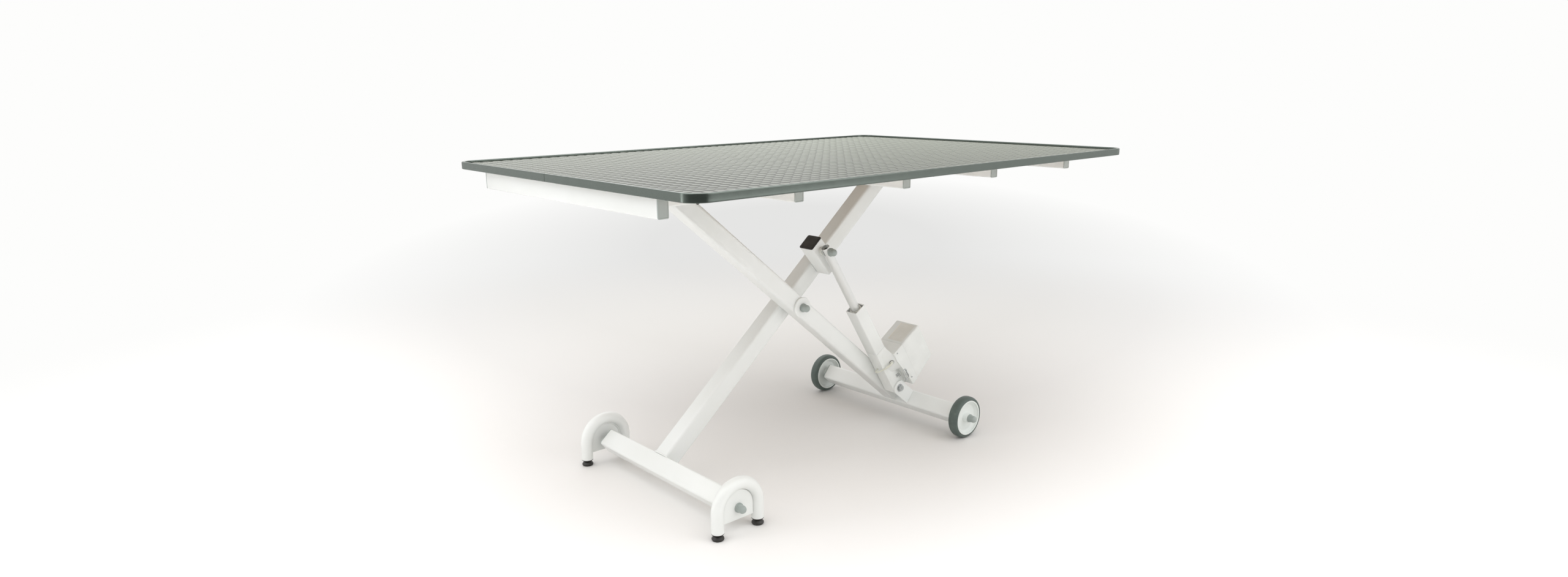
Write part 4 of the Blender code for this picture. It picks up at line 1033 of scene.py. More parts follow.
def hollow_bar(bm, start, end, outer, inner, ease=0.0008):
    """A tube along X with softly broken ends, from two outlines in Y and Z with as many points."""
    middle = [((a + c) / 2, (b + d) / 2) for (a, b), (c, d) in zip(outer, inner)]
    softer = [(a * 0.7 + c * 0.3, b * 0.7 + d * 0.3) for (a, b), (c, d) in zip(outer, middle)]
    course = [(start + ease, outer), (end - ease, outer), (end, softer), (end, inner), (start, inner),
              (start, softer)]
    skin(bm, [[(x, a, b) for a, b in outline] for x, outline in course], loop=True)


def solid_bar(bm, start, end, outer, ease=0.0012):
    """A closed bar along X whose end edges are rounded in three steps."""
    rings = []
    half_a = max(abs(a) for a, _ in outer)
    for step in range(4):
        angle = math.pi / 2 * step / 3
        share = 1 - ease * (1 - math.sin(angle)) / half_a
        rings.append((start + ease * (1 - math.cos(angle)), share))
    course = rings + [(start + end - x, share) for x, share in reversed(rings)]
    skin(bm, [[(x, a * share, b * share) for a, b in outer] for x, share in course])


for number in range(1, 6):
    low, high = span(f"beam_{number}")
    middle = (low + high) / 2
    width, height, length = high.x - low.x, high.z - low.z, high.y - low.y
    outer = box_outline(-width / 2, width / 2, -height / 2, height / 2, BEAM_CORNER)
    inside = max(BEAM_CORNER - BEAM_WALL, 0.001)
    inner = box_outline(BEAM_WALL - width / 2, width / 2 - BEAM_WALL, BEAM_WALL - height / 2,
                        height / 2 - BEAM_WALL, inside)
    place = Matrix.Translation(middle) @ Matrix.Rotation(math.pi / 2, 4, "Z")
    beam = piece(f"cross_beam_{number}", shape(hollow_bar, -length / 2, length / 2, outer, inner), enamel,
                 "tabletop", [f"beam_{number}"], place)
    if 1 < number < 5:
        start, end, bottom = low.x - SAW_OVERRUN, high.x + SAW_OVERRUN, low.z - SAW_OVERRUN
        between = rail_out + MESH_GAP
        carve(beam, box_tool((start, -between, bottom), (end, between, rail_high.z + MESH_GAP)))
        carve(beam, box_tool((start, -arm_zone, bottom), (end, arm_zone, top_pivot.z + arm_tip_reach)))

# %% [markdown]
# ### Beam caps
#
# Each tube ends in a push-in cap of light grey plastic. Its face has a shallow panel inside a raised
# frame, and small corner pips left by the mould. The frame catches light as a pale line, which is what
# one sees of it from a step away. A plug reaches into the tube.

# %% Beam caps
CAP_FRAME = 0.0026
CAP_PANEL_DEPTH = 0.0007
CAP_FLANGE, CAP_PLUG = 0.003, 0.010


def cap_shape(bm, width, height, flange, plug, corner, wall, frame_width=CAP_FRAME,
              panel_depth=CAP_PANEL_DEPTH):
    """A cap along X: its plug is at the low end and its face, with a sunk panel, at the high end."""
    def ring(inset, x):
        half_width, half_height = width / 2 - inset, height / 2 - inset
        radius = max(corner - inset, 0.0004)
        outline = box_outline(-half_width, half_width, -half_height, half_height, radius)
        return [(x, a, b) for a, b in outline]

    ease = 0.0006
    rings = [ring(wall + 0.0006, -plug), ring(wall + 0.0003, -plug + ease), ring(wall + 0.0003, 0),
             ring(ease, 0)]
    rings += [ring(0, ease), ring(0, flange - ease), ring(ease / 3, flange - ease / 3), ring(ease, flange)]
    rings += [ring(frame_width - ease / 2, flange), ring(frame_width, flange - panel_depth)]
    skin(bm, rings)


for number in range(1, 6):
    for side_name, side in sides:
        node_name = f"beam_cap_{number}_{side_name}"
        low, high = span(node_name)
        middle = (low + high) / 2
        width, height = high.x - low.x, high.z - low.z
        face = middle.y + side * (high.y - low.y) / 2 - side * CAP_FLANGE
        place = Matrix.Translation((middle.x, face, middle.z)) @ Matrix.Rotation(side * math.pi / 2, 4, "Z")
        bm = shape(cap_shape, width, height, CAP_FLANGE, CAP_PLUG, BEAM_CORNER, BEAM_WALL)
        piece(f"end_cap_{number}_{side_name}", bm, cap_plastic, "tabletop",
              [node_name], place)

# %% [markdown]
# ### Rails
#
# Two folded channels run lengthwise under the board. The rollers run between their flanges and the fixed
# pivot's shaft passes through their webs. Folded sheet has a round outside at each fold, so the section
# is written as one eased outline, and the shaft's hole is a turned cutter.

# %% Rails
RAIL_WALL = 0.003
SHAFT_HOLE = 0.0103


def channel(side):
    """A rail's section in Y and Z about the pivot's height, open towards the table's middle."""
    half = (rail_high.z - rail_low.z) / 2
    depth = rail_high.y - rail_low.y
    out, back = rail_out, rail_out - depth
    corners = [(out, -half, 0.004), (out, half, 0.004), (back, half, 0.0006),
               (back, half - RAIL_WALL, 0.0006), (out - RAIL_WALL, half - RAIL_WALL, 0.0015),
               (out - RAIL_WALL, RAIL_WALL - half, 0.0015), (back, RAIL_WALL - half, 0.0006),
               (back, -half, 0.0006)]
    return [(side * a, b) for a, b in eased(corners)]


rail_middle = (rail_low.z + rail_high.z) / 2
for side_name, side in sides:
    rail = piece(f"folded_rail_{side_name}",
                 shape(skin, [[(x, a, b) for a, b in channel(side)] for x in (rail_low.x, rail_high.x)]),
                 enamel, "tabletop", [f"rail_{side_name}"],
                 Matrix.Translation((0, 0, rail_middle)))
    drill(rail, (top_pivot.x, side * (rail_out - RAIL_WALL / 2), top_pivot.z), (0, 1, 0), SHAFT_HOLE,
          4 * RAIL_WALL)

# %% [markdown]
# ## Scissor frame
#
# ### Arms and beams
#
# The two arms are square tube, and each is welded at its foot to a square beam across the table. The
# corners of such tube are rolled round, with a radius near one and a half walls, and they carry the soft
# highlights of the enamel. So the outline has many points in its corners. The upper ends are cut off
# short with their edges broken, to clear the beams as the table comes down.

# %% Arms
TUBE_WALL = 0.003
TUBE_CORNER = 0.0055
END_SLOPE_START = 0.018


def arm_shape(bm, start, end, half, slope_at_end):
    """A square tube whose far end is drawn back towards both edges, like a cut corner."""
    outer = box_outline(-half, half, -half, half, TUBE_CORNER, 6)
    inside = half - TUBE_WALL
    inner = box_outline(-inside, inside, -inside, inside, TUBE_CORNER - TUBE_WALL, 6)

    def back(b):
        return max(0.0, abs(b) - END_SLOPE_START) if slope_at_end else 0.0

    ease = 0.0008
    soft = [(a * 0.985, b * 0.985) for a, b in outer]
    course = [(start + ease, outer, 0), (end - ease, outer, 1), (end, soft, 1), (end, inner, 1),
              (start, inner, 0), (start, soft, 0)]
    skin(bm, [[(x - back(b) * trimmed, a, b) for a, b in outline] for x, outline, trimmed in course],
         loop=True)


half_arm = (arm_high.z - arm_low.z) / 2
foot_arm_place = foot_line @ Matrix.Translation((0, (arm_low.y + arm_high.y) / 2, 0))
foot_arm = piece("foot_arm_tube", shape(arm_shape, arm_low.x, arm_high.x, half_arm, True), enamel,
                 "foot_frame", ["foot_arm"], foot_arm_place)
wheel_low, wheel_high = span("wheel_arm", wheel_line)
turned_round = Matrix.Rotation(math.pi, 4, "Z")
wheel_arm_place = wheel_line @ Matrix.Translation((0, (wheel_low.y + wheel_high.y) / 2, 0)) @ turned_round
wheel_arm = piece("wheel_arm_tube", shape(arm_shape, -wheel_high.x, -wheel_low.x, half_arm, True), enamel,
                  "wheel_frame", ["wheel_arm"], wheel_arm_place)

# %% Arm holes
BOLT_BORE = 0.0063
across = (0, 1, 0)
deep = 4 * half_arm
for arm, middle_y in ((foot_arm, foot_arm_place.translation.y), (wheel_arm, wheel_arm_place.translation.y)):
    drill(arm, centre + Vector((0, middle_y, 0)), across, BOLT_BORE, deep)
drill(foot_arm, foot_line @ Vector((2 * (centre - feet).length, arm_high.y - half_arm, 0)), across,
      SHAFT_HOLE, deep)
drill(wheel_arm, top_pivot + Vector((0, wheel_arm_place.translation.y, 0)), across, SHAFT_HOLE, deep)
print("arm holes:", 2 * BOLT_BORE, "m across at the centre,", 2 * SHAFT_HOLE, "m at the top")

# %% [markdown]
# The arms' feet are welded to two beams of the same tube. A beam is seen only from outside, so it is a
# closed bar here, and a flush grey plug fills each of its ends.

# %% Cross beams at the lower ends
BEAM_PLUG = 0.004
BEAM_PLUG_INSET = 0.0004


def beam_part(bm, low, high, half, ease):
    """A length of the square tube's outside, or a plug that closes its end."""
    outer = box_outline(-half, half, -half, half, TUBE_CORNER, 6)
    solid_bar(bm, low, high, outer, ease)


beam_places = {
    "foot_beam": ("foot_frame", foot_line),
    "wheel_beam": ("wheel_frame", slanted(axle, axle - centre)),
}
for node_name, (body, line) in beam_places.items():
    low, high = span(node_name, line)
    place = line @ Matrix.Rotation(math.pi / 2, 4, "Z")
    reach, half = (high.y - low.y) / 2, (high.z - low.z) / 2
    piece(f"{node_name}_tube", shape(beam_part, BEAM_PLUG - reach, reach - BEAM_PLUG, half, 0.0004), enamel,
          body, [node_name], place)
    for side_name, side in sides:
        ends = sorted((side * reach, side * (reach - BEAM_PLUG + MESH_GAP)))
        piece(f"{node_name}_plug_{side_name}", shape(beam_part, *ends, half - BEAM_PLUG_INSET, 0.0008),
              cap_plastic, body, place=place)

# %% [markdown]
# ### Weld beads
#
# Where an arm meets its beam runs a weld under the paint. Paint softens its ripples but does not hide
# them. A thin tube swept round the joint, swelling and shrinking a little along its way, gives that
# bead. It lies in the corner, half in both faces, just as melted steel does.

# %% Weld beads
BEAD_RADIUS = 0.0019
BEAD_STEP = 0.0022


def bead_shape(bm, outline, x, radius=BEAD_RADIUS, step=BEAD_STEP):
    """A rippled bead round an outline in Y and Z, at a place along X."""
    closed = [Vector((x, a, b)) for a, b in outline]
    path = []
    for one, two in zip(closed, closed[1:] + closed[:1]):
        count = max(1, round((two - one).length / step))
        path += [one.lerp(two, i / count) for i in range(count)]
    rings = []
    for index, point in enumerate(path):
        before, after = path[index - 1], path[(index + 1) % len(path)]
        along = (after - before).normalized()
        out = along.cross(Vector((1, 0, 0)))
        size = radius * (1 + 0.12 * math.sin(index * 1.9) + 0.05 * math.sin(index * 0.53))
        rings.append([point + out * a + Vector((b, 0, 0)) for a, b in round_outline(size, 10)])
    skin(bm, rings, loop=True)


arm_outline = box_outline(-half_arm, half_arm, -half_arm, half_arm, TUBE_CORNER, 6)
piece("foot_arm_weld", shape(bead_shape, arm_outline, arm_low.x), enamel, "foot_frame",
      place=foot_arm_place)
piece("wheel_arm_weld", shape(bead_shape, arm_outline, -wheel_high.x), enamel, "wheel_frame",
      place=wheel_arm_place)

# %% [markdown]
# ### Capped bolts
#
# Every pivot on the lower frame ends in the same grey plastic cap, pushed over a hexagon nut. It has a
# washer-like skirt, a short drum with a step and six soft flats, and a dome. One profile function serves
# the feet, the wheels, the centre pivot and the pin of the rod; the flats are pressed in as the profile
# is turned. The steel shank behind it is part of the same piece.

# %% Cap profile
CAP_RADIUS = 0.0104
CAP_LENGTH = 0.020
SKIRT_RADIUS = 0.0116
SKIRT = 0.003
SHANK_RADIUS = 0.006
DRUM_SHARE = 0.93
STEP_SHARE = 0.22
SHOULDER_SHARE = 0.56
DOME_STEPS = 8


def cap_profile(radius, length, skirt_radius, skirt, shank_radius, shank_length):
    """(radius, height) points from the shank's end, at minus its length, out to the dome's tip."""
    drum = radius * DRUM_SHARE
    step = skirt + length * STEP_SHARE
    shoulder = skirt + length * SHOULDER_SHARE
    tip = skirt + length
    corners = [
        (0, -shank_length, 0), (shank_radius, -shank_length, 0.0006), (shank_radius, 0, 0),
        (skirt_radius, 0, 0.0003), (skirt_radius, skirt, 0.0009), (radius, skirt, 0.0003),
        (radius, step, 0.0005), (drum, step + 0.0006, 0.0003), (drum, shoulder, 0.0012),
    ]
    points = eased(corners, closed=False)[:-1]
    for turn in range(DOME_STEPS):
        angle = math.pi / 2 * turn / DOME_STEPS
        points.append((drum * math.cos(angle), shoulder + (tip - shoulder) * math.sin(angle)))
    return points + [(0, tip)]


print("bolt caps:", round(SKIRT + CAP_LENGTH, 4), "m tall and", round(2 * SKIRT_RADIUS, 4), "m across")

# %% Flats on the caps
FLATS = 6
FLAT_SHARE = 0.5


def flat_cap(bm, profile, sides=72):
    """Turn a cap's profile, but press six soft flats into its drum; skirt and tip stay round."""
    rings, tips = [], []
    foot = next(height for radius, height in profile if radius > 0 and height >= SKIRT)
    tip = profile[-1][1]
    for radius, height in profile:
        if radius == 0:
            tips.append((0, 0, height))
            continue
        press = FLAT_SHARE * (1 - (height - foot) / (tip - foot)) ** 0.5 if height > foot + 0.0001 else 0
        ring = []
        for side in range(sides):
            turn = 2 * math.pi * side / sides
            off_flat = (turn % (2 * math.pi / FLATS)) - math.pi / FLATS
            hexagon = math.cos(math.pi / FLATS) / math.cos(off_flat)
            size = radius * (1 - press * (1 - hexagon))
            ring.append((size * math.cos(turn), size * math.sin(turn), height))
        rings.append(ring)
    made = skin(bm, rings, caps=False)
    for ring, point in ((made[0], tips[0]), (made[-1], tips[-1])):
        end = bm.verts.new(point)
        for side in range(sides):
            bm.faces.new((ring[side], ring[(side + 1) % sides], end))


print("flats:", FLATS, "to a cap, each pressed", FLAT_SHARE, "of the way in at its foot")

# %% Capped bolts


def capped_bolt(name, node_name, body, side):
    """A capped bolt in the place of a CAD bolt that lies across the table."""
    low, high = span(node_name)
    axis_x, axis_z = (low.x + high.x) / 2, (low.z + high.z) / 2
    tip = low.y if side < 0 else high.y
    inner = high.y if side < 0 else low.y
    face = tip - side * (CAP_LENGTH + SKIRT)
    profile = cap_profile(CAP_RADIUS, CAP_LENGTH, SKIRT_RADIUS, SKIRT, SHANK_RADIUS, abs(face - inner))
    return piece(name, shape(flat_cap, profile), dome_plastic, body, [node_name],
                 crosswise(Vector((axis_x, face, axis_z)), side))


for side_name, side in sides:
    capped_bolt(f"foot_pivot_{side_name}", f"foot_bolt_{side_name}", f"{side_name}_foot", side)
    capped_bolt(f"wheel_axle_{side_name}", f"axle_bolt_{side_name}", "wheel_frame", side)

# %% [markdown]
# ### Feet
#
# A foot is one tube bent into an arch, with a web plate welded inside it that carries the beam's bolt.
# A path of straight legs and a half circle gives the centreline; the wall shows where the tube ends, so
# the sweep runs out along the outside and back along the inside as one closed skin.

# %% Foot arches
ARCH_STEPS = 48
ARCH_SIDES = 32
ARCH_WALL = 0.0025


def arch_path(pitch, bottom):
    """Points of the centreline in the arch's own frame, with the half circle about the origin."""
    legs = pitch / 2
    left = [Vector((-legs, 0, bottom * (1 - i / 6))) for i in range(6)]
    bend = []
    for i in range(ARCH_STEPS + 1):
        angle = math.pi * (1 - i / ARCH_STEPS)
        bend.append(Vector((legs * math.cos(angle), 0, legs * math.sin(angle))))
    return left + bend + [Vector((-point.x, 0, point.z)) for point in reversed(left)]


def pipe(bm, path, outer, wall, sides, ease=0.0006):
    """An open pipe along a path in the XZ plane, outside and inside in one skin."""
    rings = []
    last = len(path) - 1

    def ring(index, radius, shift=0.0):
        along = (path[min(index + 1, last)] - path[max(index - 1, 0)]).normalized()
        side = Vector((along.z, 0, -along.x))
        middle = path[index] + along * shift
        return [middle + side * a + Vector((0, b, 0)) for a, b in round_outline(radius, sides)]

    for index in range(last + 1):
        shift = ease if index == 0 else -ease if index == last else 0.0
        rings.append(ring(index, outer, shift))
    rings.append(ring(last, outer - ease))
    rings += [ring(index, outer - wall) for index in range(last, -1, -1)]
    rings.append(ring(0, outer - ease))
    skin(bm, rings, loop=True)


for side_name, side in sides:
    low, high = span(f"foot_tube_{side_name}")
    radius = (high.y - low.y) / 2
    pitch = high.x - low.x - 2 * radius
    middle = Vector((feet.x, (low.y + high.y) / 2, feet.z))
    piece(f"foot_arch_{side_name}",
          shape(pipe, arch_path(pitch, low.z - feet.z), radius, ARCH_WALL, ARCH_SIDES), enamel,
          f"{side_name}_foot", [f"foot_tube_{side_name}"], Matrix.Translation(middle))

# %% Web plates
WEB_EASE = 0.0009


def half_disc(reach, bottom, steps=40):
    """The web's outline: a half circle on a short straight skirt."""
    outline = [(-reach, bottom), (reach, bottom)]
    return outline + [(reach * math.cos(math.pi * i / steps), reach * math.sin(math.pi * i / steps))
                      for i in range(steps + 1)]


def plate_shape(bm, outline, thickness, ease):
    """A plate in the XZ plane about Y = 0 with softly broken edges."""
    middle_a = sum(a for a, _ in outline) / len(outline)
    middle_b = sum(b for _, b in outline) / len(outline)
    half = thickness / 2
    reach = max(math.hypot(a - middle_a, b - middle_b) for a, b in outline)
    rings = []
    for y, inset in ((-half, ease), (-half + ease, 0), (half - ease, 0), (half, ease)):
        share = 1 - inset / reach
        rings.append([(middle_a + (a - middle_a) * share, y, middle_b + (b - middle_b) * share)
                      for a, b in outline])
    skin(bm, rings)


for side_name, side in sides:
    low, high = span(f"foot_web_{side_name}")
    reach = (high.x - low.x) / 2
    middle = Vector((feet.x, (low.y + high.y) / 2, feet.z))
    web = piece(f"foot_plate_{side_name}",
                shape(plate_shape, half_disc(reach, low.z - feet.z), high.y - low.y, WEB_EASE), enamel,
                f"{side_name}_foot", [f"foot_web_{side_name}"], Matrix.Translation(middle))
    drill(web, middle, across, BOLT_BORE, 4 * (high.y - low.y))

# %% [markdown]
# The web is welded to the inside of the arch from behind, on the beam's side. Seen from outside one sees
# only the thin dark seam, and from inside a bead along the whole half circle.

# %% Foot welds


def arc_bead(bm, reach, bottom, radius=0.0022):
    """A rippled bead along the web's half circle, with its ends on the straight skirts."""
    path = [Vector((-reach, 0, bottom * 0.8))]
    count = 70
    path += [Vector((-reach * math.cos(math.pi * i / count), 0, reach * math.sin(math.pi * i / count)))
             for i in range(count + 1)]
    path.append(Vector((reach, 0, bottom * 0.8)))

    def swelling(share):
        return radius * (0.55 if share in (0, 1) else 1 + 0.14 * math.sin(share * 190))

    swept(bm, path, swelling, sides=10)


for side_name, side in sides:
    low, high = span(f"foot_web_{side_name}")
    reach = (high.x - low.x) / 2
    inner_face = high.y if side < 0 else low.y
    place = Matrix.Translation((feet.x, inner_face, feet.z))
    piece(f"foot_weld_{side_name}", shape(arc_bead, reach, low.z - feet.z), enamel,
          f"{side_name}_foot", place=place)

# %% [markdown]
# ### Levelling feet
#
# A black insert plugs the end of each leg and shows as a thin dark ring. Below it a bright thread goes
# down into a flared pad with a neck, which screws up and down to level the table. Thread is easy to
# turn if the profile itself has teeth, so the stem's profile zigzags. It turns with its pad.

# %% Levelling feet
THREAD_PITCH = 0.0011
THREAD_DEPTH = 0.00045
STEM_RADIUS = 0.0052
STEM_SHOWS = 0.0026
PAD_RADIUS, FLANGE_RADIUS, INSERT_RADIUS = 0.0145, 0.0152, 0.0119
FLANGE_TALL = 0.0021


def levelling_foot(bm, flange_low, flange_top, top):
    """The pad with its neck, from the floor up, and the insert in the tube's end."""
    neck_top = flange_low - STEM_SHOWS
    pad = [(0, 0, 0), (PAD_RADIUS - 0.0020, 0, 0.0008), (PAD_RADIUS, 0.0026, 0.0014),
           (PAD_RADIUS, 0.0052, 0.0018), (0.0112, 0.0094, 0.0030), (0.0084, 0.0126, 0.0020),
           (0.0084, neck_top, 0.0008), (0, neck_top, 0)]
    turned(bm, eased(pad, closed=False), sides=40)
    insert = [(0, flange_low, 0), (FLANGE_RADIUS - 0.0012, flange_low, 0.0006),
              (FLANGE_RADIUS, flange_top, 0.0003), (INSERT_RADIUS, flange_top, 0),
              (INSERT_RADIUS, top, 0.001), (0, top, 0)]
    turned(bm, eased(insert, closed=False), sides=40)


def threaded_stem(bm, low, high):
    """A short screw whose thread is drawn as teeth in the turned profile."""
    profile = [(0, low), (STEM_RADIUS, low)]
    height = low
    while height + THREAD_PITCH < high:
        profile += [(STEM_RADIUS - THREAD_DEPTH, height + THREAD_PITCH / 2),
                    (STEM_RADIUS, height + THREAD_PITCH)]
        height += THREAD_PITCH
    turned(bm, profile + [(STEM_RADIUS, high), (0, high)], sides=32)


for side_name, _ in sides:
    for end_name in ("outer", "inner"):
        node_name = f"levelling_foot_{side_name}_{end_name}"
        low, high = span(node_name)
        tube_end = span(f"foot_tube_{side_name}")[0].z
        flange_low = tube_end - FLANGE_TALL
        bm = shape(levelling_foot, flange_low, tube_end - MESH_GAP, high.z)
        place = Matrix.Translation(((low.x + high.x) / 2, (low.y + high.y) / 2, 0))
        body = f"{side_name}_{end_name}_pad"
        piece(f"levelling_pad_{side_name}_{end_name}", bm, black_plastic, body, [node_name],
              place)
        bm = shape(threaded_stem, flange_low - STEM_SHOWS - THREAD_PITCH, flange_low + THREAD_PITCH)
        piece(f"levelling_stem_{side_name}_{end_name}", bm, zinc, body, place=place)

# %% [markdown]
# ### Centre pivot
#
# The wheel arm carries a round boss on its near face, and the pivot's bolt goes through both arms. Boss
# and bolt are turned. The far end of the bolt shows a flat head behind the foot arm.

# %% Centre pivot
boss_low, boss_high = span("pivot_boss")
boss_radius = (boss_high.x - boss_low.x) / 2
boss_depth = boss_high.y - boss_low.y
boss_profile = eased([(BOLT_BORE, 0, 0), (boss_radius, 0, 0.0004), (boss_radius, boss_depth, 0.0016),
                      (BOLT_BORE, boss_depth, 0.0006)])
boss_place = crosswise(Vector((centre.x, boss_high.y, centre.z)), -1)
piece("round_boss", shape(turned, boss_profile, sides=72, loop=True), enamel, "wheel_frame",
      ["pivot_boss"], boss_place)

bolt_low, bolt_high = span("pivot_bolt")
face = bolt_low.y + CAP_LENGTH + SKIRT
shank_end = bolt_high.y - face
HEAD_THICK = 0.003
profile = cap_profile(CAP_RADIUS, CAP_LENGTH, SKIRT_RADIUS, SKIRT, SHANK_RADIUS, shank_end - HEAD_THICK)
head_seat = HEAD_THICK - shank_end
head_points = eased([(0, -shank_end, 0), (SKIRT_RADIUS, -shank_end, 0.0008),
                     (SKIRT_RADIUS, head_seat, 0.0004), (SHANK_RADIUS, head_seat, 0)], closed=False)
profile = head_points + [point for point in profile if point[1] > head_seat + 0.001]
piece("centre_bolt", shape(turned, profile), dome_plastic, "wheel_frame", ["pivot_bolt"],
      crosswise(Vector((centre.x, face, centre.z)), -1))

# %% [markdown]
# ### Wheels
#
# Each wheel is an off-white moulding with a pressed-on rubber tyre. From outside one sees a thin bright
# rim, a step down to a dished disc, and the long hub with its cap. Both parts are turned solids: the disc's
# profile runs along the outer face, round the rim and back along the inner face.

# %% Wheels
RIM_RADIUS = 0.050
RIM_INSIDE, RIM_STEP = 0.0462, 0.0052
HUB_RADIUS, HUB_FOOT = 0.0138, 0.0143
DISC_RADIUS = 0.0390
TYRE_CROWN = 0.0042


def tyre_profile(inner, outer, half):
    """A rubber tyre: two soft walls, a crowned tread and a fine groove beside the rim."""
    crown = []
    for step in range(17):
        share = 2 * step / 16 - 1
        crown.append((outer - TYRE_CROWN * abs(share) ** 3.2, share * (half - 0.0012)))
    walls = [(inner, half - 0.0016), (inner + 0.0012, half), (inner + 0.0035, half - 0.0002)]
    return [(r, -h) for r, h in walls] + crown + [(r, h) for r, h in reversed(walls)]


def wheel_profile(bore, half, hub):
    """The wheel's moulding: hub, dished disc and rim, alike on both faces."""
    outer = [(bore, hub, 0.0004), (HUB_RADIUS, hub, 0.0009), (HUB_FOOT, 0.0042, 0.0016),
             (DISC_RADIUS, 0.0036, 0.0030), (0.0445, half - RIM_STEP, 0.0012),
             (RIM_INSIDE, half - RIM_STEP, 0.0008), (RIM_INSIDE, half, 0.0006), (RIM_RADIUS, half, 0.0006)]
    corners = [(r, -h, e) for r, h, e in outer] + list(reversed(outer))
    return eased(corners)


for side_name, side in sides:
    low, high = span(f"tyre_{side_name}")
    radius, half = (high.z - low.z) / 2, (high.y - low.y) / 2
    middle = Vector((axle.x, (low.y + high.y) / 2, axle.z))
    place = crosswise(middle, side)
    piece(f"rubber_tyre_{side_name}",
          shape(turned, tyre_profile(RIM_RADIUS + MESH_GAP, radius, half), sides=96, loop=True), tyre_rubber,
          f"{side_name}_wheel", [f"tyre_{side_name}"], place)
    hub_low, hub_high = span(f"wheel_{side_name}")
    profile = wheel_profile(BOLT_BORE, half, (hub_high.y - hub_low.y) / 2)
    piece(f"wheel_disc_{side_name}", shape(turned, profile, sides=96, loop=True), wheel_plastic,
          f"{side_name}_wheel", [f"wheel_{side_name}"], place)

# %% [markdown]
# ### Shafts and rollers
#
# Under the top, and only seen from below, a fixed shaft with two heads carries the wheel arm, and a
# sliding one with a roller at each end carries the foot arm. Both are bright zinc, turned, with broken
# edges.

# %% Shafts and rollers
ROLLER_BORE = 0.0083
ROLLER_GROOVE = 0.0008
SHAFT_RADIUS, SHAFT_HEAD, SHAFT_END = 0.010, 0.014, 0.008


def shaft_profile(steps, ease=0.0006):
    """A stepped shaft from (radius, place) steps given for one half and mirrored to the other."""
    right = [(radius, place, ease) for radius, place in steps]
    left = [(radius, -place, ease) for radius, place in reversed(steps)]
    end = right[-1][1]
    return eased([(0, -end, 0)] + left + right + [(0, end, 0)], closed=False)


_, top_high = span("top_shaft")
head_seat = rail_out + MESH_GAP
profile = shaft_profile([(SHAFT_RADIUS, head_seat), (SHAFT_HEAD, head_seat), (SHAFT_HEAD, top_high.y)])
piece("upper_shaft", shape(turned, profile, sides=40), zinc, "wheel_frame", ["top_shaft"],
      crosswise(top_pivot, 1))
slide_low, slide_high = span("slide_shaft")
slide_axis = Vector(((slide_low.x + slide_high.x) / 2, 0, (slide_low.z + slide_high.z) / 2))
shoulder = span("roller_far")[0].y - MESH_GAP
profile = shaft_profile([(SHAFT_RADIUS, shoulder), (SHAFT_END, shoulder), (SHAFT_END, slide_high.y)])
piece("sliding_shaft", shape(turned, profile, sides=40), zinc, "foot_frame", ["slide_shaft"],
      crosswise(slide_axis, 1))
for side_name, side in sides:
    low, high = span(f"roller_{side_name}")
    radius, half = (high.z - low.z) / 2, (high.y - low.y) / 2
    middle = Vector((slide_axis.x, (low.y + high.y) / 2, slide_axis.z))
    end_face = [(ROLLER_BORE, 0, 0.0005), (0.0105, 0, 0.0003), (0.0112, ROLLER_GROOVE, 0.0003),
                (0.0138, ROLLER_GROOVE, 0.0003), (0.0145, 0, 0.0003), (radius, 0, 0.0012)]
    corners = [(r, sunk - half, ease) for r, sunk, ease in end_face]
    corners += [(r, half - sunk, ease) for r, sunk, ease in reversed(end_face)]
    piece(f"rail_roller_{side_name}", shape(turned, eased(corners, steps=3), sides=48, loop=True), nylon,
          f"{side_name}_roller", [f"roller_{side_name}"], crosswise(middle, side))

# %% [markdown]
# ## Drive
#
# ### Bracket on the foot arm
#
# A short square tube is welded to the foot arm and carries the rod's upper pin. A black cap with a
# slightly raised middle closes its upper end. The lower end is left open and only shows its wall.

# %% Bracket
BRACKET_WALL = 0.003
BRACKET_CORNER = 0.005
low, high = span("rod_bracket", foot_line)
along, deep_y = high.x - low.x, high.y - low.y
outer = box_outline(-deep_y / 2, deep_y / 2, -along / 2, along / 2, BRACKET_CORNER, 6)
inner = box_outline(BRACKET_WALL - deep_y / 2, deep_y / 2 - BRACKET_WALL, BRACKET_WALL - along / 2,
                    along / 2 - BRACKET_WALL, BRACKET_CORNER - BRACKET_WALL, 6)
stand_up = Matrix.Rotation(-math.pi / 2, 4, "Y")
bracket_place = foot_line @ Matrix.Translation(((low.x + high.x) / 2, (low.y + high.y) / 2, 0)) @ stand_up
piece("pin_bracket", shape(hollow_bar, low.z, high.z, outer, inner), enamel, "foot_frame",
      ["rod_bracket"], bracket_place)
cap_low, cap_high = span("rod_bracket_cap", foot_line)
flange = cap_high.z - high.z - MESH_GAP
plug = cap_high.z - flange - cap_low.z
bm = shape(cap_shape, deep_y, along, flange, plug, BRACKET_CORNER, BRACKET_WALL, 0.0042, -0.0008)
piece("bracket_cap", bm, black_plastic, "foot_frame", ["rod_bracket_cap"],
      bracket_place @ Matrix.Translation((cap_high.z - flange, 0, 0)))

# %% Bracket weld


def straight_bead(bm, start, end, radius=BEAD_RADIUS, up=Vector((0, 1, 0))):
    """A rippled bead along a straight joint, with thin ends."""
    count = max(6, round((end - start).length / 0.0012))
    path = [start.lerp(end, i / count) for i in range(count + 1)]

    def swelling(share):
        return radius * (0.4 if share in (0, 1) else 1 + 0.13 * math.sin(share * count * 0.9))

    swept(bm, path, swelling, sides=10, up=up)


for name, x in (("bracket_weld_low", low.x), ("bracket_weld_high", high.x)):
    start, end = Vector((x, arm_low.y, low.z + 0.003)), Vector((x, arm_low.y, half_arm - TUBE_CORNER))
    piece(name, shape(straight_bead, start, end), enamel, "foot_frame", place=foot_line)

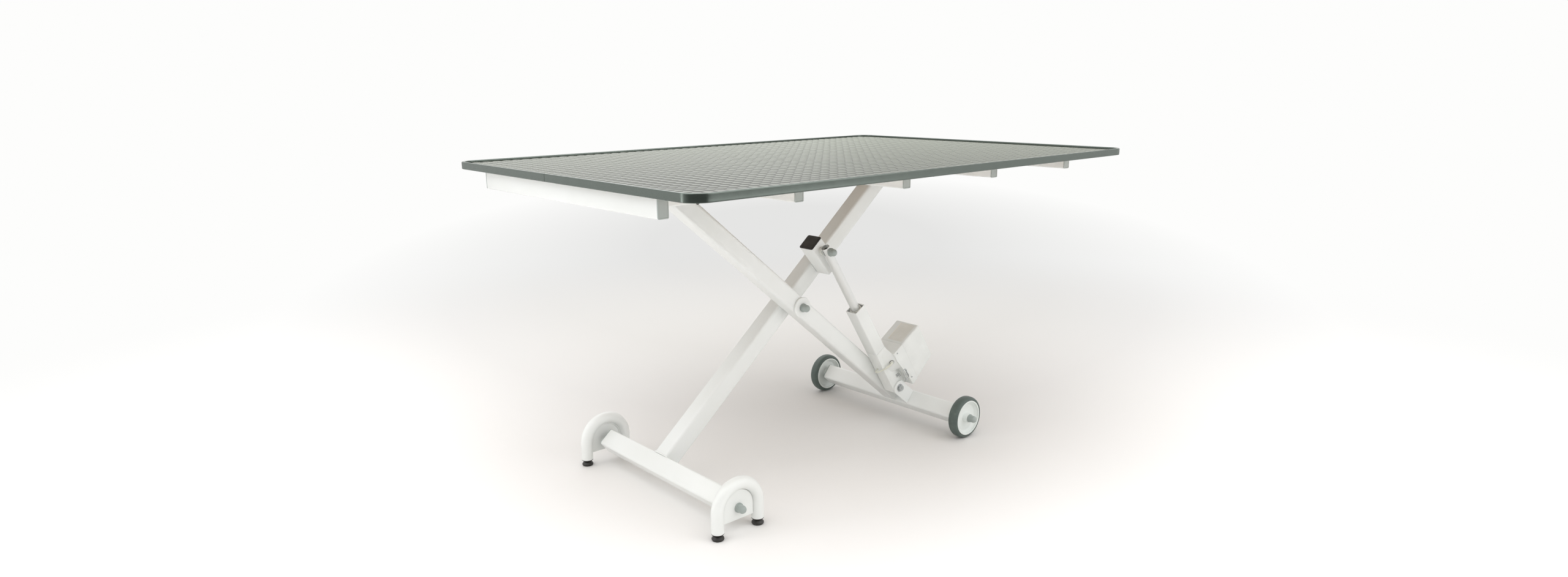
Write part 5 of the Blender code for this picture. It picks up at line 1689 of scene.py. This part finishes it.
# %% [markdown]
# ### Rod and its pin
#
# The rod is a drawn tube with a slot in its upper end, and a bright ring a little way down its mouth. It
# hangs on a pin with the same kind of grey cap, and a nylon ring keeps it off the bracket.

# %% Rod
ROD_WALL = 0.002
ROD_SLOT = Vector((0.021, 0.003))
low, high = span("rod", drive_line)
rod_radius = (high.z - low.z) / 2
rod_y = (low.y + high.y) / 2
outer, inner = round_outline(rod_radius, 56), round_outline(rod_radius - ROD_WALL, 56)
rod_place = drive_line @ Matrix.Translation((0, rod_y, 0))
rod = piece("slide_rod", shape(hollow_bar, low.x, high.x, outer, inner), drawn_rod, "rod_end",
            ["rod"], rod_place)
slot_low = (low.x - SAW_OVERRUN, -ROD_SLOT.y / 2, -rod_radius - SAW_OVERRUN)
carve(rod, box_tool(slot_low, (low.x + ROD_SLOT.x, ROD_SLOT.y / 2, 0)), rod_place)
pin_low, pin_high = span("rod_pin", drive_line)
pin_x = (pin_low.x + pin_high.x) / 2
drill(rod, rod_place @ Vector((pin_x, 0, 0)), across, BOLT_BORE, 4 * rod_radius)

# %% Ring in the rod's mouth
RING_DOWN, RING_BORE, RING_TALL = 0.0065, 0.0048, 0.0022
ring_outside = rod_radius - ROD_WALL - MESH_GAP
mouth = Matrix.Translation((low.x + RING_DOWN, rod_y, 0)) @ Matrix.Rotation(-math.pi / 2, 4, "Y")
ring_profile = eased([(RING_BORE, 0, 0.0004), (ring_outside, 0, 0.0005), (ring_outside, RING_TALL, 0.0005),
                      (RING_BORE, RING_TALL, 0.0004)])
piece("rod_mouth_ring", shape(turned, ring_profile, sides=40, loop=True), zinc, "rod_end",
      place=drive_line @ mouth)

# %% Pin and spacer
PIN_CAP_LENGTH = 0.017
low_pin, high_pin = span("rod_pin")
face = low_pin.y + PIN_CAP_LENGTH + SKIRT
pin_middle = Vector(((low_pin.x + high_pin.x) / 2, face, (low_pin.z + high_pin.z) / 2))
profile = cap_profile(CAP_RADIUS, PIN_CAP_LENGTH, SKIRT_RADIUS, SKIRT, SHANK_RADIUS, high_pin.y - face)
piece("pin_cap", shape(turned, profile), dome_plastic, "rod_end", ["rod_pin"],
      crosswise(pin_middle, -1))
low, high = span("pin_spacer")
radius, wide = (high.x - low.x) / 2, high.y - low.y
corners = [(BOLT_BORE, 0, 0.0004), (radius, 0, 0.0008), (radius, wide, 0.0008), (BOLT_BORE, wide, 0.0004)]
piece("spacer_ring", shape(turned, eased(corners), sides=48, loop=True), nylon, "rod_end",
      ["pin_spacer"], crosswise(Vector((pin_middle.x, high.y, pin_middle.z)), -1))

# %% [markdown]
# ### Outer tube and its guide
#
# The rod slides in a square white tube. Its mouth is open: the tube's wall shows all round, and a round
# nylon guide sits just inside it, so that only the four corners stay dark.

# %% Drive tube
DRIVE_WALL = 0.003
DRIVE_CORNER = 0.0035
low, high = span("drive_tube", drive_line)
wide, tall = high.y - low.y, high.z - low.z
outer = box_outline(-wide / 2, wide / 2, -tall / 2, tall / 2, DRIVE_CORNER, 6)
inner = box_outline(DRIVE_WALL - wide / 2, wide / 2 - DRIVE_WALL, DRIVE_WALL - tall / 2,
                    tall / 2 - DRIVE_WALL, 0.001, 6)
piece("outer_tube", shape(hollow_bar, low.x, high.x, outer, inner), enamel, "drive",
      ["drive_tube"], rod_place)

# %% Guide bush
BUSH_DOWN = 0.0014
tube_mouth = span("drive_tube", drive_line)[0].x
low, high = span("guide_bush", drive_line)
wide, bush_long = high.y - low.y, high.x - tube_mouth - BUSH_DOWN
bore = rod_radius + MESH_GAP
corners = [(bore, 0, 0.0006), (wide / 2, 0, 0.0008), (wide / 2, bush_long, 0.0004), (bore, bush_long, 0.0004)]
mouth = Matrix.Translation((tube_mouth + BUSH_DOWN, rod_y, 0)) @ Matrix.Rotation(math.pi / 2, 4, "Y")
piece("rod_guide", shape(turned, eased(corners), sides=56, loop=True), nylon, "drive",
      ["guide_bush"], drive_line @ mouth)

# %% [markdown]
# ### Gearbox and motor box
#
# These are moulded housings, so their corners are round in every direction. We push the side view
# across, then bevel the edges: the small bevel follows the parting line, where the mould closes, and the
# larger one goes everywhere else. The cover's upper end carries a label on the real table. We leave the
# label bare.

# %% Moulded housings
GEARBOX_SHOULDER = 0.004
GEARBOX_NOSE = 0.020
NOSE_LOW, NOSE_HIGH = 0.008, 0.012
PARTING_EASE = 0.0007


def moulded(bm, outline, thickness, radius, flat_at=None, segments=4):
    """A side view pushed across, with rounded edges; those in the plane flat_at keep a small edge."""
    skin(bm, [[(x, y, z) for x, z in outline] for y in (-thickness / 2, thickness / 2)])

    def parting(edge):
        return flat_at is not None and all(abs(vert.co.z - flat_at) < 0.0001 for vert in edge.verts)

    soft = [edge for edge in bm.edges if not parting(edge)]
    bmesh.ops.bevel(bm, geom=soft, offset=radius, segments=segments, profile=0.5, affect="EDGES",
                    clamp_overlap=True)
    fine = [edge for edge in bm.edges if parting(edge)]
    if fine:
        bmesh.ops.bevel(bm, geom=fine, offset=PARTING_EASE, segments=2, profile=0.5, affect="EDGES",
                        clamp_overlap=True)


low, high = span("gearbox", drive_line)
half = (high.z - low.z) / 2
outline = [(low.x, -half), (GEARBOX_SHOULDER, -half), (GEARBOX_NOSE, -NOSE_LOW), (GEARBOX_NOSE, NOSE_HIGH),
           (GEARBOX_SHOULDER, half), (low.x, half)]
gearbox = piece("gearbox_housing", shape(moulded, outline, high.y - low.y, 0.0022), motor_plastic,
                "drive", ["gearbox"], rod_place)
GEARBOX_BORE = 0.0145
BORE_END = 0.025
DRIVE_BORE = 0.0053
bore_middle = rod_place @ Vector(((low.x - BORE_END) / 2, 0, 0))
drill(gearbox, bore_middle, drive_line.col[0].to_3d(), GEARBOX_BORE, -BORE_END - low.x + 0.001)
drill(gearbox, rod_place.translation, across, DRIVE_BORE, 4 * half)
gearbox_near = low.y

# %% Motor base and cover
MOTOR_TOP = 0.124
SEAT_PLACE, WAIST_PLACE, WAIST = 0.096, 0.036, 0.031
MOTOR_LOW, MOTOR_FOOT = 0.018, 0.037
COVER_LOW, COVER_RISE = 0.015, 0.015
base_low, base_high = span("motor_base", drive_line)
cover_low, cover_high = span("motor_cover", drive_line)
motor_wide = cover_high.y - cover_low.y
outline = [(-MOTOR_TOP, base_low.z), (-SEAT_PLACE, base_low.z), (-WAIST_PLACE, WAIST),
           (MOTOR_LOW, MOTOR_FOOT), (COVER_LOW, base_high.z), (-MOTOR_TOP, base_high.z)]
piece("motor_base_box", shape(moulded, outline, motor_wide, 0.0026, base_high.z), motor_plastic,
      "drive", ["motor_base"], rod_place)
outline = [(-MOTOR_TOP, cover_low.z), (COVER_LOW, cover_low.z), (COVER_LOW - COVER_RISE, cover_high.z),
           (-MOTOR_TOP, cover_high.z)]
piece("motor_cover_box", shape(moulded, outline, motor_wide, 0.0050, cover_low.z), motor_plastic,
      "drive", ["motor_cover"], rod_place)

# %% Bare label
LABEL_WIDE, LABEL_TALL, LABEL_THICK = 0.053, 0.070, 0.00025
LABEL_MIDDLE = -0.007
LINE_WIDE = 0.0011


def label_finish(name, dark, light):
    """A satin foil, close to the box under it in tone."""
    material, tree, shader, spot = surface(name, light, 0.34)
    put_colour(tree, shader, cloud(tree, spot, 0.02), [(0.3, dark), (0.7, light)])
    put_roughness(tree, shader, cloud(tree, spot, 0.006), 0.3, 0.4)
    put_relief(tree, shader, [(cloud(tree, spot, 0.0006), 0.00001)])
    return material


label_foil = label_finish("label_foil", paint(224, 223, 216), paint(230, 229, 223))
line_foil = label_finish("label_line", paint(244, 238, 222), paint(249, 244, 230))
middle = Vector((-MOTOR_TOP - LABEL_THICK / 2, LABEL_MIDDLE, (cover_low.z + cover_high.z) / 2))
line_middle = middle + Vector((-LABEL_THICK, LABEL_WIDE / 2 - LINE_WIDE, 0))
for name, foil, wide, corner, spot in (("bare_label", label_foil, LABEL_WIDE, 0.002, middle),
                                       ("label_line", line_foil, LINE_WIDE, 0.0002, line_middle)):
    outline = box_outline(-wide / 2, wide / 2, -LABEL_TALL / 2, LABEL_TALL / 2, corner)
    piece(name, shape(solid_bar, -LABEL_THICK / 2, LABEL_THICK / 2, outline, 0.0001), foil,
          "drive", place=rod_place @ Matrix.Translation(spot))

# %% [markdown]
# ### Moulded neck
#
# The gearbox flows into the motor box: from the tube's end a hollow slope rises toward the box's near
# face and ends in a shaded pocket. A plain fillet can't do that. We draw the slope's section at a few
# stations along the drive and lay a skin over them.

# %% Neck
NECK_STATIONS = (  # along the drive, near edge out, near edge up, foot up
    (-0.1500, 0.0202, 0.0195, -0.0080),
    (-0.1400, 0.0225, 0.0200, -0.0095),
    (-0.1300, 0.0290, 0.0212, -0.0100),
    (-0.1200, 0.0360, 0.0222, -0.0100),
    (-0.1080, 0.0402, 0.0230, -0.0095),
    (-0.0940, 0.0406, 0.0236, -0.0085),
    (-0.0780, 0.0402, 0.0262, -0.0055),
    (-0.0660, 0.0392, 0.0284, -0.0010),
    (-0.0610, 0.0370, 0.0292, 0.0030),
    (-0.0590, 0.0330, 0.0292, 0.0080),
)
NECK_FOOT = 0.0190
NECK_ARC = 10


def neck_shape(bm):
    """Stations joined into one skin; each is a hollow slope from the gearbox out to the box's edge."""
    rings = []
    for x, out, up, foot in NECK_STATIONS:
        ring = []
        for i in range(NECK_ARC + 1):
            share = i / NECK_ARC
            sag = 0.10 * math.sin(math.pi * share) * (out - NECK_FOOT)
            ring.append((x, -(NECK_FOOT + (out - NECK_FOOT) * share - sag), foot + (up - foot) * share))
        ring += [(x, -NECK_FOOT, up)]
        rings.append(ring)
    skin(bm, rings)


piece("moulded_neck", shape(neck_shape), motor_plastic, "drive", place=rod_place,
      sharp=math.radians(60))

# %% [markdown]
# ### Web under the motor base
#
# Between the gearbox and the motor base the moulding has a thick web, a little in from the gearbox's
# faces. It is one more side view pushed across, and it closes the gap that one would see through.

# %% Web under the motor base
WEB_INSET = 0.003
gearbox_half = rod_y - gearbox_near
web_outline = [(-0.094, 0.0185), (-0.094, 0.0225), (-WAIST_PLACE, WAIST + 0.0015),
               (0.008, MOTOR_FOOT - 0.0005), (0.012, 0.0185)]
piece("motor_web", shape(moulded, web_outline, 2 * (gearbox_half - WEB_INSET), 0.0012), motor_plastic,
      "drive", place=rod_place)

# %% [markdown]
# ### Lead
#
# A short white lead leaves a socket on the gearbox's face, bends round its edge and goes back in at the
# side. Its line is one smooth curve that leaves both faces straight. At the socket a dark grey disc is
# painted shade of the socket's recess, and a pale sleeve holds the lead there; a small bushing sits
# where the bare wire goes back in.

# %% Lead
LEAD_RADIUS = 0.003
LEAD_START = Vector((-0.0985, gearbox_near - MESH_GAP, 0.0131))
LEAD_END = Vector((-0.0900, -0.0663, -half - MESH_GAP))
LEAD_BOW_OUT, LEAD_BOW_BACK = 0.032, 0.036
WIRE_RADIUS, SLEEVE_SHARE = 0.0019, 0.46


def lead_path(steps=40):
    """The lead's centreline in the drive's own frame."""
    out, aside = Vector((0, -1, 0)), Vector((0, 0, -1))
    one, four = LEAD_START + out * LEAD_RADIUS, LEAD_END + aside * LEAD_RADIUS
    two, three = one + out * LEAD_BOW_OUT, four + aside * LEAD_BOW_BACK
    path = [LEAD_START - out * LEAD_RADIUS, LEAD_START]
    for step in range(steps + 1):
        t = step / steps
        s = 1 - t
        path.append(one * s ** 3 + two * (3 * s * s * t) + three * (3 * s * t * t) + four * t ** 3)
    return path + [LEAD_END, LEAD_END - aside * LEAD_RADIUS]


def lead_radius(share):
    """Thick where the sleeve covers it, then down to the bare wire."""
    return WIRE_RADIUS + (LEAD_RADIUS - WIRE_RADIUS) / (1 + math.exp((share - SLEEVE_SHARE) * 60))


lead = lead_path()
print("lead:", round(sum((b - a).length for a, b in zip(lead, lead[1:])), 4), "m long")
piece("motor_lead_sheath", shape(swept, lead, lead_radius, sides=20, up=Vector((1, 0, 0))), lead_sheath,
      "drive", ["motor_lead"], drive_line)

# %% Grommets
SOCKET_RADIUS = 0.0068
SOCKET_PLACE = Vector((-0.0983, -0.1016, 0.0100))
SOCKET_OUT = Vector((0, -0.80, -0.60))
# The socket's disc is dark grey as painted shade of the recess round the lead.
recess = eased([(0.0, -0.0010, 0), (SOCKET_RADIUS, -0.0010, 0), (SOCKET_RADIUS, 0.0003, 0.0002),
                (0.0, 0.0003, 0)], closed=False)
sleeve = eased([(LEAD_RADIUS + 0.0002, -0.0010, 0), (0.0058, -0.0010, 0), (0.0056, 0.0016, 0.0008),
                (LEAD_RADIUS + 0.0002, 0.0034, 0.0012)])
place = Matrix.Translation(SOCKET_PLACE) @ SOCKET_OUT.to_track_quat("Z", "X").to_matrix().to_4x4()
piece("lead_socket", shape(turned, recess, sides=40), socket_painted_shade, "drive",
      place=drive_line @ place)
piece("lead_sleeve", shape(turned, sleeve, sides=40, loop=True), nylon, "drive",
      place=drive_line @ place)
bushing = eased([(WIRE_RADIUS + 0.0001, -0.0010, 0), (0.0032, -0.0010, 0), (0.0030, 0.0010, 0.0006),
                 (WIRE_RADIUS + 0.0001, 0.0016, 0.0004)])
place = Matrix.Translation(LEAD_END) @ Vector((0, 0, -1)).to_track_quat("Z", "X").to_matrix().to_4x4()
piece("lead_bushing", shape(turned, bushing, sides=32, loop=True), nylon, "drive",
      place=drive_line @ place)

# %% [markdown]
# ### Wire catch
#
# A sprung wire loop with one crossbar holds the motor box's base. It swings out on its upper leg. Two
# little eyes hold that leg, and a hook plate beside it takes the loop's other leg. All of it is bent
# from wire and strip, so paths with rounded corners do the work.

# %% Wire catch
WIRE = 0.001
low, high = span("wire_catch", drive_line)
catch_middle = (low + high) / 2
loop_long, loop_wide = high.x - low.x - 2 * WIRE, high.z - low.z - 2 * WIRE
loop_outline = box_outline(-loop_long / 2, loop_long / 2, -loop_wide / 2, loop_wide / 2, 0.0028, 6)


def catch_shape(bm):
    swept(bm, [Vector((a, 0, b)) for a, b in loop_outline], WIRE, sides=12, closed=True)
    swept(bm, [Vector((0, 0, -loop_wide / 2)), Vector((0, 0, loop_wide / 2))], WIRE * 0.9, sides=12)


piece("catch_loop", shape(catch_shape), zinc, "catch", ["wire_catch"],
      drive_line @ Matrix.Translation(catch_middle))

# %% Catch hardware on the base
motor_near = -motor_wide / 2 + rod_y
hinge_z = high.z - WIRE
EYE_OFFSET = 0.009


def eye_shape(bm):
    """A wire staple whose ends go into the base."""
    arch = [Vector((0, 0.0032, 0)), Vector((0, 0, 0))]
    arch += [Vector((0, -0.0016 * math.sin(math.pi * i / 10), 0.0023 - 0.0023 * math.cos(math.pi * i / 10)))
             for i in range(11)]
    arch += [Vector((0, 0, 0.0046)), Vector((0, 0.0032, 0.0046))]
    swept(bm, arch, 0.0006, sides=8, up=Vector((1, 0, 0)))


def hook_shape(bm):
    """A strip hook on the gearbox: a foot, a rise and a curl, bent from narrow strip."""
    profile = [(0.0, 0.0), (0.0, 0.0070), (-0.0035, 0.0088), (-0.0068, 0.0080), (-0.0080, 0.0052),
               (-0.0066, 0.0032), (-0.0046, 0.0036)]
    for x in (-0.0032, 0.0032):
        swept(bm, [Vector((x, y, z)) for y, z in profile], 0.0009, sides=8, up=Vector((1, 0, 0)))
    swept(bm, [Vector((-0.0048, -0.0046, 0.0036)), Vector((0.0048, -0.0046, 0.0036))], 0.0009, sides=8)
    swept(bm, [Vector((-0.0052, -0.0006, 0.0)), Vector((0.0052, -0.0006, 0.0))], 0.0011, sides=8)


piece("catch_hook", shape(hook_shape), zinc, "drive",
      place=drive_line @ Matrix.Translation((catch_middle.x - 0.001, gearbox_near - 0.0006, half - 0.0085)))


def screw_head(bm, radius, tall):
    """A pan head with a cross recess drawn as a shallow dish, seat at z=0."""
    corners = [(0, -0.002, 0), (radius * 0.5, -0.002, 0), (radius * 0.5, 0, 0), (radius, 0, 0.0003),
               (radius, tall, 0.0010), (radius * 0.42, tall, 0.0003), (radius * 0.2, tall * 0.5, 0),
               (0, tall * 0.5, 0)]
    turned(bm, eased(corners, closed=False), sides=28)


for name, x, z in (("base_screw_low", -0.008, 0.044), ("base_screw_high", -0.116, 0.033)):
    place = drive_line @ Matrix.Translation((x, motor_near, z)) @ Matrix.Rotation(math.pi / 2, 4, "X")
    piece(name, shape(screw_head, 0.0024, 0.0012), zinc, "drive", place=place)

for name, offset in (("catch_eye_low", EYE_OFFSET), ("catch_eye_high", -EYE_OFFSET)):
    place = drive_line @ Matrix.Translation((catch_middle.x + offset, motor_near - 0.0012, hinge_z - 0.0023))
    piece(name, shape(eye_shape), zinc, "drive", place=place)

# %% [markdown]
# ### Ear and lower bolt
#
# The drive's lower end hangs on a zinc bolt between a welded ear plate and the wheel arm. The ear is cut
# from flat plate with two clipped corners. The bolt has a hexagonal head with chamfered corners over a
# washer, as any M10 bolt has.

# %% Ear
EAR_DRILL = 0.02
low, high = span("drive_ear", wheel_line)
clip = (high.z - low.z) / 4
outline = eased([(low.x, low.z + clip, 0.004), (low.x + clip, low.z, 0.004), (high.x, low.z, 0),
                 (high.x, high.z, 0), (low.x + clip, high.z, 0.004), (low.x, high.z - clip, 0.004)], steps=4)
ear = piece("ear_plate", shape(plate_shape, outline, high.y - low.y, 0.0006), enamel,
            "wheel_frame", ["drive_ear"], wheel_line @ Matrix.Translation((0, (low.y + high.y) / 2, 0)))
bolt_low, bolt_high = span("drive_bolt")
bolt_spot = Vector(((bolt_low.x + bolt_high.x) / 2, (low.y + high.y) / 2, (bolt_low.z + bolt_high.z) / 2))
drill(ear, bolt_spot, across, DRIVE_BORE, EAR_DRILL)

# %% Hexagon bolt
HEAD_RADIUS, HEAD_TALL, HEAD_DISH = 0.0092, 0.0065, 0.0050
WASHER_RADIUS, WASHER_THICK = 0.0115, 0.002
BOLT_SHANK = 0.005


def hexagon_bolt(bm, shank):
    """Head, washer and shank as one turned and clipped body, seat at z=0 and head up."""
    washer = eased([(0, 0, 0), (WASHER_RADIUS, 0, 0.0004), (WASHER_RADIUS, WASHER_THICK, 0.0005),
                    (0, WASHER_THICK, 0)], closed=False)
    turned(bm, washer, sides=48)
    steps = 6
    across_flats = HEAD_RADIUS * math.cos(math.pi / 6)
    rings = []
    for z, reach in ((0, 0.0086), (0.0005, HEAD_RADIUS), (HEAD_TALL - 0.0014, HEAD_RADIUS),
                     (HEAD_TALL - 0.0005, 0.0084), (HEAD_TALL, 0.0076)):
        ring = []
        for i in range(6 * steps):
            angle = 2 * math.pi * i / (6 * steps)
            flat = across_flats / math.cos((angle + math.pi / 6) % (math.pi / 3) - math.pi / 6)
            r = min(flat, reach)
            ring.append((r * math.cos(angle), r * math.sin(angle), WASHER_THICK + z))
        rings.append(ring)
    dish_height = WASHER_THICK + HEAD_TALL - 0.0005
    skin(bm, rings + [[(x, y, dish_height) for x, y in round_outline(HEAD_DISH, 6 * steps)]])
    rod_profile = eased([(0, -shank, 0), (BOLT_SHANK, -shank, 0.0006), (BOLT_SHANK, 0.0005, 0),
                         (0, 0.0005, 0)], closed=False)
    turned(bm, rod_profile, sides=32)


seat = bolt_low.y + HEAD_TALL + WASHER_THICK
piece("hexagon_bolt", shape(hexagon_bolt, bolt_high.y - seat), zinc, "wheel_frame", ["drive_bolt"],
      crosswise(Vector((bolt_spot.x, seat, bolt_spot.z)), -1))

# %% Ear weld
EAR_BEAD = 0.0014
weld_x = high.x - 0.0006
for name, z in (("ear_weld_low", low.z + 0.0008), ("ear_weld_high", high.z - 0.0008)):
    bm = shape(straight_bead, Vector((weld_x, low.y, z)), Vector((weld_x, high.y, z)), EAR_BEAD)
    piece(name, bm, enamel, "wheel_frame", place=wheel_line)
